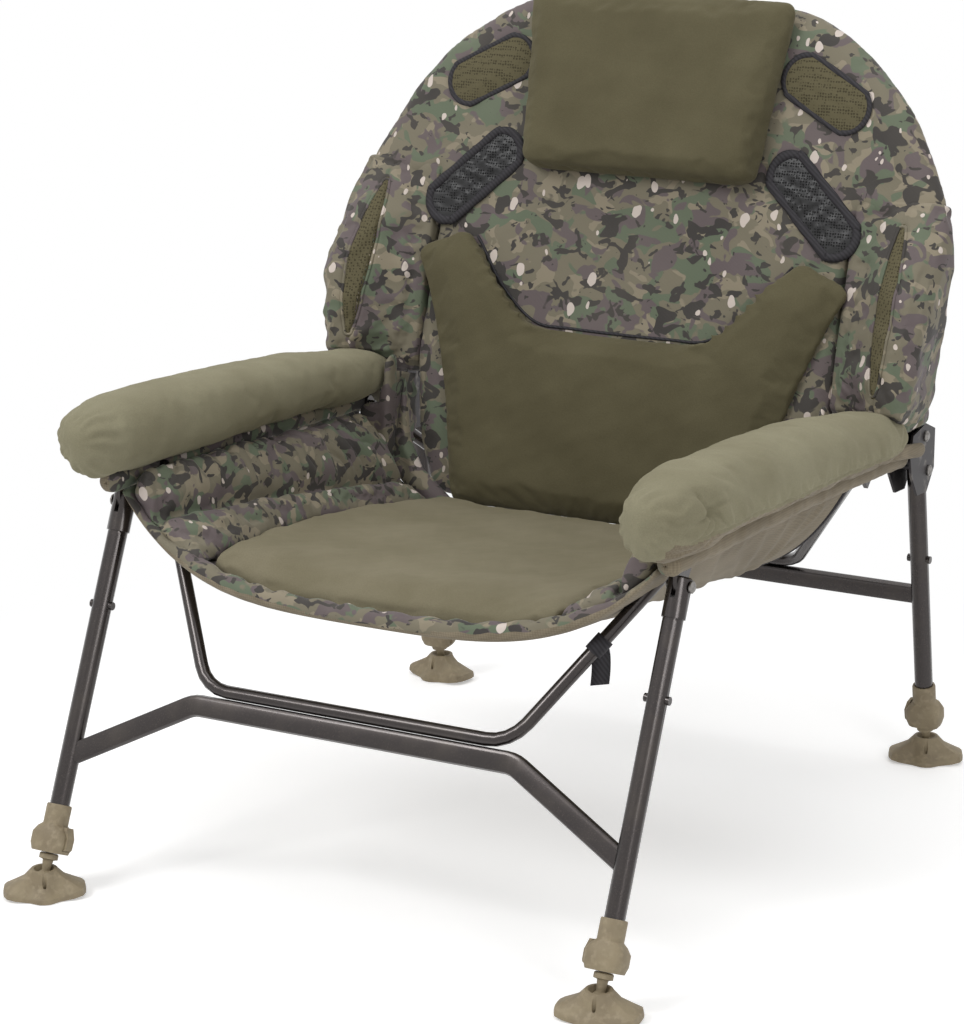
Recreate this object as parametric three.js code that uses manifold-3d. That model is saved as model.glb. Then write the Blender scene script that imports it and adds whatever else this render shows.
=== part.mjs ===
// Bankside lounge chair: a folding steel frame on four telescopic legs with swivelling mud feet, a cloth
// seat hung between two arm rails, fleece cushions, and an oval padded back on a bent tube hoop.
// Millimetres. +Z up, +X to the right as seen from the front, -Y the front of the chair.

import * as THREE from 'three';
import { mergeVertices } from 'three/addons/utils/BufferGeometryUtils.js';
import Module from 'manifold-3d';

const wasm = await Module();
wasm.setup();

// Driving dimensions.

const GAP = 0.3; // between solids that touch on the real chair
const SOFT_GAP = 0.6; // between a cushion and what it lies on
const OVERRUN = 3; // how far a cutting tool runs past the face it cuts

const TUBE = {
  legRadius: 11,
  legWall: 1.5,
  railRadius: 11,
  braceRadius: 7.5,
  hoopRadius: 9.5,
  sides: 14,
  slimSides: 12,
};

const FRAME = {
  halfSpan: 340, // centre plane of the chair to the legs and rails
  frontHingeY: -190,
  frontHingeZ: 416,
  frontBallY: -362,
  rearHingeY: 450,
  rearHingeZ: 392,
  rearBallY: 514,
  ballZ: 31, // ball centre above the datum that the other heights use, which lies under the ground
  backHingeY: 438,
  backHingeZ: 436,
};

const RAIL = {
  frontY: -207,
  rearY: 411,
  frontZ: 444.5,
  rearZ: 419.5,
  yShares: [0, 0.238, 0.481, 0.672, 1],
  dropShares: [0, 0.1, 0.32, 0.54, 1],
  lugThickness: 4.4,
  lugWidth: 22,
  lugClearance: 0.35,
};

const HEAD = {
  radius: 12.8, // sleeve round the top of each front leg
  length: 34,
  above: 9, // sleeve top above the hinge
  slotBelow: 14,
  chamfer: 2,
};

const BOLT = { radius: 3.6, hole: 4, headRadius: 6.6, headHeight: 4, washer: 0.9, sides: 12 };
const RIVET = { below: 117, headRadius: 4.6, headHeight: 3.2, dome: 1.5 };

const CROSSBAR = {
  height: 24,
  depth: 13,
  frontRadial: 207, // hinge to the level part
  frontEndRadial: 286, // hinge to the welded ends
  levelHalf: 196,
  bendRadius: 34,
  rearRadial: 164.5,
};

const BRACE = {
  frontHalfShare: 0.54706, // half length of the level part, in shares of the chair's half span
  rearHalfShare: 0.52353,
  bendRadius: 48,
  rearBendRadius: 40,
  frontTopY: -132,
  frontTopZ: 443.6,
  rearTopY: 312,
  rearTopZ: 425.1,
  endThickness: 5,
  endLength: 34,
  endRadius: 8.5,
  endOverlap: 9,
  studRadius: 3.2,
};

const BRACKET = {
  cheek: 3,
  clearance: 1.2,
  yShares: [0, 0.1, 0.62, 1, 1, 0.72, 0.34, 0.08],
  zShares: [0.62, 0.92, 1, 0.86, 0.3, 0, 0.02, 0.34],
  y: 392,
  z: 367,
  width: 76,
  height: 84,
  webThickness: 3,
  webHeight: 26,
};

const LEG = {
  frontTubeEnd: 46, // lower end of the outer tube above the ball centre
  collarBase: 28,
  innerRadius: 9.1,
  innerBase: 27.4,
  innerInsideLength: 208,
};

const COLLAR = {
  height: 53,
  neckRadius: 14,
  neckBase: 31,
  shoulder: 27,
  flare: 20,
  chin: 8,
  halfWidth: 22,
  halfDepth: 17.5,
  shoulderHalf: 17,
  footHalfWidth: 19.5,
  footHalfDepth: 15,
  rim: 1.6,
  wallAbove: 17, // step inside, where the outer tube lands
  bore: 9.5,
  pocketHalf: 6.8,
  pocketDepth: 6,
  pocketBase: 3.5,
  pocketTop: 30,
  points: 16,
  neckExponent: 2,
  bodyExponent: 3.4,
};

const LEVER = {
  clearance: 0.45,
  proud: 3.2,
  pinInset: 3.8, // pivot line from the lever's inner face
  pinHeight: 3.6, // pivot line above the lever's lower end
  thickness: 4.4,
  tipDepth: 2.2,
  waist: 1.4,
  knuckleShare: 0.55,
};

const ANKLE = {
  ringRadius: 10.4,
  ringTop: 27,
  ringBase: 19.5,
  chamfer: 1.2,
  neckRadius: 4.6,
  neckFlare: 6,
  ballRadius: 9.4,
  sides: 14,
  ballSteps: 7,
};

const FOOT = {
  radius: 45,
  under: 20, // ball centre above the ground
  rise: 11, // rim of the neck's opening, above the ball centre
  lipRadius: 8.4, // narrowest part of the opening, so that the ball is held
  mouthRadius: 11.6,
  plate: 3,
  hubRadius: 14.4,
  wingTop: 7.5, // wing crest at the hub, above the ball centre
  wingTip: 10.5, // crest height at the tip, above the ground
  skirtHub: 0.5, // skirt height at the hub, above the ball centre
  skirtTip: 4.5,
  tipLift: 3.5, // underside of the wing tips above the ground
  flatShare: 0.52,
  outlineShares: [1, 1.01, 1, 0.86, 0.7, 0.64, 0.66, 0.7, 0.71],
  crestShares: [1, 1, 0.94, 0.5, 0.1, 0, 0, 0, 0],
  ringShares: [0.3, 0.62, 0.84, 0.97],
  pocketRadius: 2.4,
  pocketReach: 17,
  pocketDepth: 8,
  yawDegrees: { front_left: 37, front_right: 10, rear_left: -12, rear_right: 22 },
};

const COVER = { inner: 11.4, wall: 2.6, startY: -166, endY: 388, slotHalf: 19, slotDepth: 12 };

const SLING = {
  frontY: -252,
  rearY: 286,
  recede: 38, // front edge set back at the rails
  recedePower: 2.2,
  frontZ: 337, // underside on the centre line, front
  rearZ: 280,
  thickness: 8,
  edgeInset: 15, // cloth edge inside the rail's centre plane
  edgeDrop: 10.5, // cloth edge below the rail's centre line
  frontCurve: 3.8, // power of the hammock's cross curve
  rearCurve: 4.8,
  roll: 13, // padded front roll, extra thickness
  rollReach: 34,
  padShare: 0.65846, // half width of the fleece pad
  xShares: [0, 0.2, 0.4, 0.56, 0.66, 0.76, 0.85, 0.93, 0.97, 1],
  yShares: [0, 0.012, 0.036, 0.046, 0.1, 0.2, 0.34, 0.48, 0.62, 0.76, 0.9, 1],
};

const SEAT_PAD = {
  thickness: 34,
  edge: 9,
  frontY: -227,
  rearY: 281,
  waterfall: 16,
};

const BOLSTER = {
  thickness: 37,
  edge: 8,
  padClearance: 3,
  outerShare: 0.97,
  frontY: -227,
  rearY: 276,
  endReach: 26,
  xShares: [0, 0.16, 0.4, 0.7, 0.88, 1],
  fillShares: [0, 0.5, 0.72, 1, 0.92, 0.36],
};

const ARM = {
  frontY: -282,
  rearY: 347,
  lowZ: 454, // middle of the rear end
  rise: 42,
  halfWidth: 56,
  halfHeight: 42,
  yShares: [0, 0.008, 0.027, 0.067, 0.146, 0.305, 0.48, 0.655, 0.814, 0.925, 0.986, 1],
  zShares: [0.81, 0.857, 0.905, 0.952, 1, 0.905, 0.762, 0.595, 0.357, 0.143, 0.024, 0],
  widthShares: [0.143, 0.339, 0.589, 0.804, 0.982, 1, 1, 0.982, 0.946, 0.839, 0.589, 0.214],
  heightShares: [0.143, 0.357, 0.595, 0.81, 1, 0.976, 0.976, 0.905, 0.762, 0.619, 0.429, 0.167],
  exponent: 2.5,
  points: 18,
  seamDropShare: 0.18,
  tuckY: -150,
  tuckReach: 26,
  tuckDepth: 6,
};

const BACK = {
  y: 290.5, // front face on the centre line, at the lower edge
  z: 335,
  recline: 16.7,
  thickness: 42,
  rimEdge: 15,
  height: 626,
  halfWidth: 386,
  // outline of the right half, from the lower centre round to the top centre: the part between the hoop's
  // legs in shares of the chair's half span, the rest in shares of the half width
  lowXShares: [0, 0.31788, 0.56765, 0.66982, 0.70388, 0.76065, 0.79471, 0.81741, 0.81741, 0.82309],
  highXShares: [0.86, 0.985, 0.982, 0.945, 0.9, 0.842, 0.765, 0.672, 0.56, 0.42, 0.22],
  sShares: [0, 0, 0, 0.012, 0.04, 0.1, 0.2, 0.3, 0.46, 0.606, 0.608, 0.612, 0.642, 0.69,
    0.742, 0.797, 0.852, 0.902, 0.947, 0.979, 0.997],
  centreShare: 0.7,
  ringShares: [0.965, 0.9, 0.72],
};

const WING = {
  base: 161, // along the back face, from the lower edge
  top: 377,
  forward: 60,
  depth: 40,
  sleeveSkin: 13, // cloth behind the hoop's centre line
  sleeveSide: 15, // cloth beside the hoop's centre line, at the base and at the top
  sleeveTop: 36,
  stationShares: [0, 0.012, 0.024, 0.2, 0.36, 0.53, 0.7, 0.86, 1],
  widthShares: [0.93, 0.95, 0.985, 1.005, 1.015, 1.02, 1.018, 1.012, 1.002],
  forwardShares: [-0.62, -0.4, 0.88, 0.98, 1, 0.92, 0.66, 0.38, 0.12],
  endShares: [0.9, 0.96, 1, 1, 1, 1, 1, 1, 0.96],
};

const HOOP = {
  lowZ: 425,
  kinkZ: 690,
  halfWidth: 360,
  lowShares: [0, 0.2, 0.66, 1], // up to the kink
  splayShares: [0, 0.05, 0.6, 1], // from the hinge outwards to the kink
  depthShare: 0.52,
  // upper bow, along the back face from its start, and its half width
  bowS: 371,
  bowHeight: 234,
  bowShares: [0, 0.133, 0.312, 0.487, 0.658, 0.816, 0.936, 0.987, 1],
  bowWidthShares: [1, 0.978, 0.925, 0.853, 0.758, 0.628, 0.444, 0.236, 0],
  bore: 0.4,
  slimSides: 10,
};

const LUMBAR = {
  thickness: 24,
  edge: 7,
  widthShare: 0.81177,
  s: 8,
  height: 310,
  // right half, from the lower centre round to the notch in the upper edge
  xShares: [0, 0.34, 0.64, 0.69, 0.72, 0.78, 0.86, 0.94, 1, 0.97, 0.86, 0.76, 0.62, 0.42, 0.22],
  sShares: [0, 0, 0, 0.02, 0.12, 0.36, 0.6, 0.8, 0.9, 0.94, 0.985, 1, 0.84, 0.675, 0.655],
  centreShare: 0.42,
};

const PILLOW = {
  thickness: 50,
  edge: 16,
  topXShare: 0.49412,
  lowXShare: 0.44706,
  s: 396,
  top: 616,
  corner: 22,
  centreShare: 0.5,
};

const WINDOW = {
  // black mesh windows in the back: centre line ends, half width, thickness
  lowXShare: 0.75,
  lowS: 348,
  highXShare: 0.55294,
  highS: 418,
  half: 29,
  thickness: 5,
  edge: 2.4,
};

const MESH = {
  lowXShare: 0.74706,
  lowS: 494,
  highXShare: 0.56765,
  highS: 529,
  half: 29,
  thickness: 9,
  edge: 3,
};

const STRAP = {
  along: 0.42, // share of the brace side, from its bend
  width: 25,
  wall: 2,
  clearance: 0.5,
  tail: 38,
  tab: 14,
  tailTilt: 28,
};

// Finishes.

const FINISH = {
  gunmetal: { color: 0x4a4446, roughness: 0.38, metalness: 0.8 },
  dark_steel: { color: 0x2c2a2b, roughness: 0.5, metalness: 0.7 },
  zinc: { color: 0x8d8a86, roughness: 0.35, metalness: 0.9 },
  tan_plastic: { color: 0x9a8868, roughness: 0.6, metalness: 0 },
  olive_fleece: { color: 0x6a6548, roughness: 0.95, metalness: 0 },
  camo_cloth: { color: 0x6c6a55, roughness: 0.9, metalness: 0 },
  khaki_cloth: { color: 0x8c8070, roughness: 0.9, metalness: 0 },
  black_mesh: { color: 0x1f2021, roughness: 0.8, metalness: 0 },
  olive_mesh: { color: 0x5f5c40, roughness: 0.9, metalness: 0 },
  webbing: { color: 0x26252a, roughness: 0.85, metalness: 0 },
};

const material = (name) => new THREE.MeshStandardMaterial({ ...FINISH[name], name });

// Geometry helpers.

const SIDES = { left: -1, right: 1 };
const v3 = (x, y, z) => new THREE.Vector3(x, y, z);
const mix = (a, b, t) => a + (b - a) * t;
const radians = (degrees) => THREE.MathUtils.degToRad(degrees);
const smooth = (a, b, x) => THREE.MathUtils.smoothstep(x, a, b);

/** Value of a table at x, straight between its entries. */
function lookUp(xs, ys, x) {
  let i = 0;
  while (i < xs.length - 2 && x > xs[i + 1]) i += 1;
  const t = THREE.MathUtils.clamp((x - xs[i]) / (xs[i + 1] - xs[i]), 0, 1);
  return mix(ys[i], ys[i + 1], t);
}

/** Turns a geometry's faces outwards if its enclosed volume comes out negative. */
function outward(geometry) {
  const p = geometry.getAttribute('position');
  const index = geometry.getIndex();
  const [a, b, c] = [v3(0, 0, 0), v3(0, 0, 0), v3(0, 0, 0)];
  let volume = 0;
  for (let i = 0; i < index.count; i += 3) {
    a.fromBufferAttribute(p, index.getX(i));
    b.fromBufferAttribute(p, index.getX(i + 1));
    c.fromBufferAttribute(p, index.getX(i + 2));
    volume += a.dot(b.cross(c));
  }
  if (volume < 0) {
    const flipped = Array.from(index.array);
    for (let i = 0; i < flipped.length; i += 3) {
      [flipped[i + 1], flipped[i + 2]] = [flipped[i + 2], flipped[i + 1]];
    }
    geometry.setIndex(flipped);
  }
  geometry.computeVertexNormals();
  return geometry;
}

/** An indexed geometry from points and triangles, faces outwards. */
function faceted(points, triangles) {
  const geometry = new THREE.BufferGeometry();
  const flat = points.flatMap((point) => [point.x, point.y, point.z]);
  geometry.setAttribute('position', new THREE.Float32BufferAttribute(flat, 3));
  geometry.setIndex(triangles);
  return outward(geometry);
}

/** A closed body through rings of equal point count, each end closed by a fan round its middle. */
function loft(rings) {
  const count = rings[0].length;
  const points = rings.flat();
  const triangles = [];
  for (let r = 0; r + 1 < rings.length; r += 1) {
    for (let i = 0; i < count; i += 1) {
      const j = (i + 1) % count;
      const [a, b] = [r * count + i, r * count + j];
      triangles.push(a, b, a + count, b, b + count, a + count);
    }
  }
  for (const [ring, reversed] of [[0, true], [rings.length - 1, false]]) {
    const middle = rings[ring].reduce((sum, point) => sum.add(point), v3(0, 0, 0));
    points.push(middle.divideScalar(count));
    for (let i = 0; i < count; i += 1) {
      const [a, b] = [ring * count + i, ring * count + ((i + 1) % count)];
      if (reversed) triangles.push(points.length - 1, b, a);
      else triangles.push(points.length - 1, a, b);
    }
  }
  return faceted(points, triangles);
}

/** A closed slab over a grid of stations, between two surfaces at(x, y, side) with side 0 or 1. */
function slab(xs, ys, at) {
  const [nx, ny] = [xs.length, ys.length];
  const points = [];
  for (const side of [0, 1]) {
    for (const y of ys) for (const x of xs) points.push(at(x, y, side));
  }
  const id = (i, j, side) => side * nx * ny + j * nx + i;
  const triangles = [];
  const quad = (a, b, c, d) => triangles.push(a, b, c, a, c, d);
  for (let j = 0; j + 1 < ny; j += 1) {
    for (let i = 0; i + 1 < nx; i += 1) {
      quad(id(i, j, 1), id(i + 1, j, 1), id(i + 1, j + 1, 1), id(i, j + 1, 1));
      quad(id(i, j, 0), id(i, j + 1, 0), id(i + 1, j + 1, 0), id(i + 1, j, 0));
    }
  }
  for (let i = 0; i + 1 < nx; i += 1) {
    quad(id(i, 0, 0), id(i + 1, 0, 0), id(i + 1, 0, 1), id(i, 0, 1));
    quad(id(i + 1, ny - 1, 0), id(i, ny - 1, 0), id(i, ny - 1, 1), id(i + 1, ny - 1, 1));
  }
  for (let j = 0; j + 1 < ny; j += 1) {
    quad(id(0, j + 1, 0), id(0, j, 0), id(0, j, 1), id(0, j + 1, 1));
    quad(id(nx - 1, j, 0), id(nx - 1, j + 1, 0), id(nx - 1, j + 1, 1), id(nx - 1, j, 1));
  }
  return faceted(points, triangles);
}

/** A solid that booleans can work on, from a closed geometry. */
function toSolid(geometry) {
  const bare = geometry.clone();
  bare.deleteAttribute('normal');
  bare.deleteAttribute('uv');
  const merged = mergeVertices(bare, 1e-4);
  return new wasm.Manifold(new wasm.Mesh({
    numProp: 3,
    vertProperties: new Float32Array(merged.getAttribute('position').array),
    triVerts: new Uint32Array(merged.getIndex().array),
  }));
}

/** The geometry of a boolean's result. */
function toGeometry(solid) {
  const mesh = solid.getMesh();
  const points = new Float32Array((mesh.vertProperties.length / mesh.numProp) * 3);
  for (let i = 0; i * 3 < points.length; i += 1) {
    for (let k = 0; k < 3; k += 1) points[i * 3 + k] = mesh.vertProperties[i * mesh.numProp + k];
  }
  const geometry = new THREE.BufferGeometry();
  geometry.setAttribute('position', new THREE.BufferAttribute(points, 3));
  geometry.setIndex(Array.from(mesh.triVerts));
  geometry.computeVertexNormals();
  return geometry;
}

/** Joins geometries into one body. */
const join = (first, ...rest) => toGeometry(rest.reduce((s, g) => s.add(toSolid(g)), toSolid(first)));

/** Cuts tools out of a body. */
const cut = (body, ...tools) => toGeometry(tools.reduce((s, g) => s.subtract(toSolid(g)), toSolid(body)));

/** A route of stations for an extrusion: each step lands on one station, square to its tangent. */
class Route extends THREE.Curve {
  constructor(stations, side = null) {
    super();
    this.stations = stations;
    this.side = side;
  }

  at(t) {
    return this.stations[Math.round(t * (this.stations.length - 1))];
  }

  getPoint(t) { return this.at(t).point.clone(); }

  getPointAt(t) { return this.getPoint(t); }

  getTangent(t) { return this.at(t).tangent.clone(); }

  getTangentAt(t) { return this.getTangent(t); }

  computeFrenetFrames(segments, closed) {
    if (!this.side) return super.computeFrenetFrames(segments, closed);
    const tangents = this.stations.map((station) => station.tangent.clone());
    const normals = tangents.map(() => this.side.clone());
    const binormals = tangents.map((tangent) => tangent.clone().cross(this.side));
    return { tangents, normals, binormals };
  }
}

/** Stations along straight runs joined by round bends. */
function bentStations(points, radius, steps) {
  const stations = [{ point: points[0].clone(), tangent: points[1].clone().sub(points[0]).normalize() }];
  for (let k = 1; k + 1 < points.length; k += 1) {
    const into = points[k].clone().sub(points[k - 1]).normalize();
    const out = points[k + 1].clone().sub(points[k]).normalize();
    const angle = into.angleTo(out);
    const axis = into.clone().cross(out).normalize();
    const reach = radius * Math.tan(angle / 2);
    const start = points[k].clone().addScaledVector(into, -reach);
    const centre = start.clone().addScaledVector(axis.clone().cross(into), radius);
    for (let i = 0; i <= steps; i += 1) {
      const turn = (angle * i) / steps;
      stations.push({
        point: start.clone().sub(centre).applyAxisAngle(axis, turn).add(centre),
        tangent: into.clone().applyAxisAngle(axis, turn),
      });
    }
  }
  const [before, last] = points.slice(-2);
  stations.push({ point: last.clone(), tangent: last.clone().sub(before).normalize() });
  return stations;
}

/** Stations at given points, each tangent along its neighbours. */
function pointStations(points) {
  return points.map((point, i) => ({
    point: point.clone(),
    tangent: points[Math.min(i + 1, points.length - 1)].clone()
      .sub(points[Math.max(i - 1, 0)]).normalize(),
  }));
}

/** A closed outline as a shape. */
function outline(points) {
  return new THREE.Shape(points.map(([x, y]) => new THREE.Vector2(x, y)));
}

/** The corner points of a regular polygon that stands for a circle. */
function ringPoints(radius, sides) {
  return Array.from({ length: sides }, (_, i) => {
    const angle = (2 * Math.PI * i) / sides;
    return [radius * Math.cos(angle), radius * Math.sin(angle)];
  });
}

/** A solid or hollow bar of the given section along a route. */
function sweep(route, section, hole = null) {
  const shape = outline(section);
  if (hole) shape.holes.push(outline(hole));
  return new THREE.ExtrudeGeometry(shape, {
    steps: route.stations.length - 1, bevelEnabled: false, extrudePath: route,
  });
}

/** A plate: an outline in the YZ plane, thick along X, with its middle at x. */
function plate(points, thickness, x) {
  const geometry = new THREE.ExtrudeGeometry(outline(points), { depth: thickness, bevelEnabled: false });
  geometry.rotateX(Math.PI / 2);
  geometry.rotateZ(Math.PI / 2);
  return geometry.translate(x - thickness / 2, 0, 0);
}

/** A box between two corners. */
function block(low, high) {
  const [w, d, h] = [high[0] - low[0], high[1] - low[1], high[2] - low[2]];
  return new THREE.BoxGeometry(w, d, h).translate(low[0] + w / 2, low[1] + d / 2, low[2] + h / 2);
}

/** A cylinder along Z from z0 to z1. */
function post(radius, z0, z1, sides) {
  return new THREE.CylinderGeometry(radius, radius, z1 - z0, sides)
    .rotateX(Math.PI / 2).translate(0, 0, (z0 + z1) / 2);
}

/** A cylinder along X, centred on x. */
function pin(radius, length, sides, x = 0) {
  return new THREE.CylinderGeometry(radius, radius, length, sides).rotateZ(Math.PI / 2).translate(x, 0, 0);
}

/** A body turned about Z from a profile of [radius, z] pairs that starts and ends on the axis. */
function turned(profile, sides) {
  const points = profile.map(([r, z]) => new THREE.Vector2(r, z));
  return outward(mergeVertices(stripped(new THREE.LatheGeometry(points, sides).rotateX(Math.PI / 2)), 1e-4));
}

/** A geometry with nothing but its positions. */
function stripped(geometry) {
  geometry.deleteAttribute('normal');
  geometry.deleteAttribute('uv');
  return geometry;
}

/** A superellipse ring in the XY plane at height z. */
function superRing(halfX, halfY, exponent, z, count) {
  return Array.from({ length: count }, (_, i) => {
    const angle = (2 * Math.PI * i) / count;
    const [c, s] = [Math.cos(angle), Math.sin(angle)];
    const power = 2 / exponent;
    return v3(halfX * Math.sign(c) * Math.abs(c) ** power, halfY * Math.sign(s) * Math.abs(s) ** power, z);
  });
}

/** The mirror image of a geometry across the centre plane. */
function mirrored(geometry) {
  const copy = geometry.clone().scale(-1, 1, 1);
  if (!copy.getIndex()) return outward(mergeVertices(stripped(copy), 1e-4));
  return outward(stripped(copy));
}

const handed = (geometry, side) => (side < 0 ? mirrored(geometry) : geometry);

/** A named mesh. */
function part(name, geometry, finish) {
  const mesh = new THREE.Mesh(geometry, material(finish));
  mesh.name = name;
  return mesh;
}

// Shared frames.

const railYs = RAIL.yShares.map((share) => mix(RAIL.frontY, RAIL.rearY, share));
const railZs = RAIL.dropShares.map((share) => mix(RAIL.frontZ, RAIL.rearZ, share));
const railZ = (y) => lookUp(railYs, railZs, y);

/** Where each leg hangs: its hinge, its tilt from upright and its length to the ball. */
function legFrame(hingeY, hingeZ, ballY) {
  const [dy, dz] = [hingeY - ballY, hingeZ - FRAME.ballZ];
  return { y: hingeY, z: hingeZ, tilt: -Math.atan2(dy, dz), length: Math.hypot(dy, dz) };
}

const FRONT = legFrame(FRAME.frontHingeY, FRAME.frontHingeZ, FRAME.frontBallY);
const REAR = legFrame(FRAME.rearHingeY, FRAME.rearHingeZ, FRAME.rearBallY);

/** The point at a distance down a leg frame, lifted off its middle plane by rise towards the hinge. */
function downLeg(frame, distance) {
  return { y: frame.y + Math.sin(frame.tilt) * distance, z: frame.z - Math.cos(frame.tilt) * distance };
}

const recline = radians(BACK.recline);

/** A point of the back: x across, s up along its face, out towards the sitter. */
function onBack(x, s, out) {
  return v3(
    x,
    BACK.y + s * Math.sin(recline) - out * Math.cos(recline),
    BACK.z + s * Math.cos(recline) + out * Math.sin(recline),
  );
}

const slingEdge = FRAME.halfSpan - SLING.edgeInset;
const padEdge = slingEdge * SLING.padShare;

/** How far back a point of the hammock lies, 0 to 1. */
const slingShare = (y) => (y - SLING.frontY) / (SLING.rearY - SLING.frontY);

/** Underside of the hammock. */
function slingUnder(x, y) {
  const edge = railZ(y) - SLING.edgeDrop - SLING.thickness / 2;
  const low = mix(SLING.frontZ, SLING.rearZ, slingShare(y));
  const power = mix(SLING.frontCurve, SLING.rearCurve, slingShare(y));
  return low + (edge - low) * (Math.abs(x) / slingEdge) ** power;
}

const slingTop = (x, y) => slingUnder(x, y) + SLING.thickness;

/** How far a place across the hammock is set back from the straight front edge. */
const setBack = (x) => SLING.recede * (Math.abs(x) / slingEdge) ** SLING.recedePower;

/** Moves a station along the hammock back to suit the curved front edge. */
const curved = (x, y) => y + setBack(x) * (1 - slingShare(y));

const slingX = (share) => share * slingEdge;
const slingStations = SLING.yShares.map((share) => mix(SLING.frontY, SLING.rearY, share));

// Bolts and frame pieces.

/** A bolt along X with a domed head on its outer end, from -reach to +reach. */
function bolt(reach) {
  const profile = [
    [0, -reach - BOLT.washer],
    [BOLT.radius + BOLT.washer, -reach - BOLT.washer],
    [BOLT.radius + BOLT.washer, -reach - GAP],
    [BOLT.radius, -reach - GAP],
    [BOLT.radius, reach + GAP],
    [BOLT.headRadius, reach + GAP],
    [BOLT.headRadius, reach + BOLT.headHeight / 2],
    [BOLT.headRadius * 0.6, reach + BOLT.headHeight],
    [0, reach + BOLT.headHeight],
  ];
  return turned(profile, BOLT.sides).rotateY(Math.PI / 2);
}

/** An arm rail with the hinge lug under its front end. */
function armRail(x) {
  const points = railYs.map((y, i) => v3(x, y, railZs[i]));
  const tube = sweep(new Route(pointStations(points)), ringPoints(TUBE.railRadius, TUBE.slimSides));
  const half = RAIL.lugWidth / 2;
  const arc = Array.from({ length: 7 }, (_, i) => {
    const angle = Math.PI + (Math.PI * i) / 6;
    return [FRONT.y + half * Math.cos(angle), FRONT.z + half * Math.sin(angle)];
  });
  const lug = plate(
    [...arc, [FRONT.y + half, railZ(FRONT.y)], [FRONT.y - half, railZ(FRONT.y)]],
    RAIL.lugThickness,
    x,
  );
  const hole = pin(BOLT.hole, RAIL.lugThickness + OVERRUN, BOLT.sides, x).translate(0, FRONT.y, FRONT.z);
  return cut(join(tube, lug), hole);
}

/** The cloth tube round a rail, slotted where the two braces are bolted on. */
function railCover(side) {
  const x = side * FRAME.halfSpan;
  const ys = [COVER.startY, ...railYs.slice(1, -1), COVER.endY];
  const points = ys.map((y) => v3(x, y, railZ(y)));
  const outer = ringPoints(COVER.inner + COVER.wall, TUBE.slimSides);
  const tube = sweep(
    new Route(pointStations(points)),
    outer,
    ringPoints(COVER.inner, TUBE.slimSides).reverse(),
  );
  const slots = [BRACE.frontTopY, BRACE.rearTopY].map((y) => block(
    [-COVER.slotDepth, y - COVER.slotHalf, railZ(y) - COVER.slotHalf],
    [COVER.slotDepth, y + COVER.slotHalf, railZ(y) + COVER.slotHalf],
  ).translate(x - side * (COVER.inner + GAP), 0, 0));
  return cut(tube, ...slots);
}

/** The rear hinge bracket: two pressed cheeks joined by a web behind the rail's end. */
function rearBracket() {
  const inside = TUBE.railRadius + BRACKET.clearance;
  const corners = BRACKET.yShares.map((share, i) => [
    BRACKET.y + share * BRACKET.width,
    BRACKET.z + BRACKET.zShares[i] * BRACKET.height,
  ]);
  const cheek = (sign) => plate(corners, BRACKET.cheek, sign * (inside + BRACKET.cheek / 2));
  const webBase = railZ(RAIL.rearY) - TUBE.railRadius - GAP - BRACKET.webThickness;
  const web = block(
    [-inside - BRACKET.cheek / 2, BRACKET.y + BRACKET.webThickness, webBase],
    [inside + BRACKET.cheek / 2, BRACKET.y + BRACKET.webHeight, webBase + BRACKET.webThickness],
  );
  const reach = inside + BRACKET.cheek + OVERRUN;
  const legHole = pin(BOLT.hole, 2 * reach, BOLT.sides).translate(0, REAR.y, REAR.z);
  const backHole = pin(BOLT.hole, 2 * reach, BOLT.sides).translate(0, FRAME.backHingeY, FRAME.backHingeZ);
  return cut(join(cheek(-1), web, cheek(1)), legHole, backHole);
}

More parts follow.
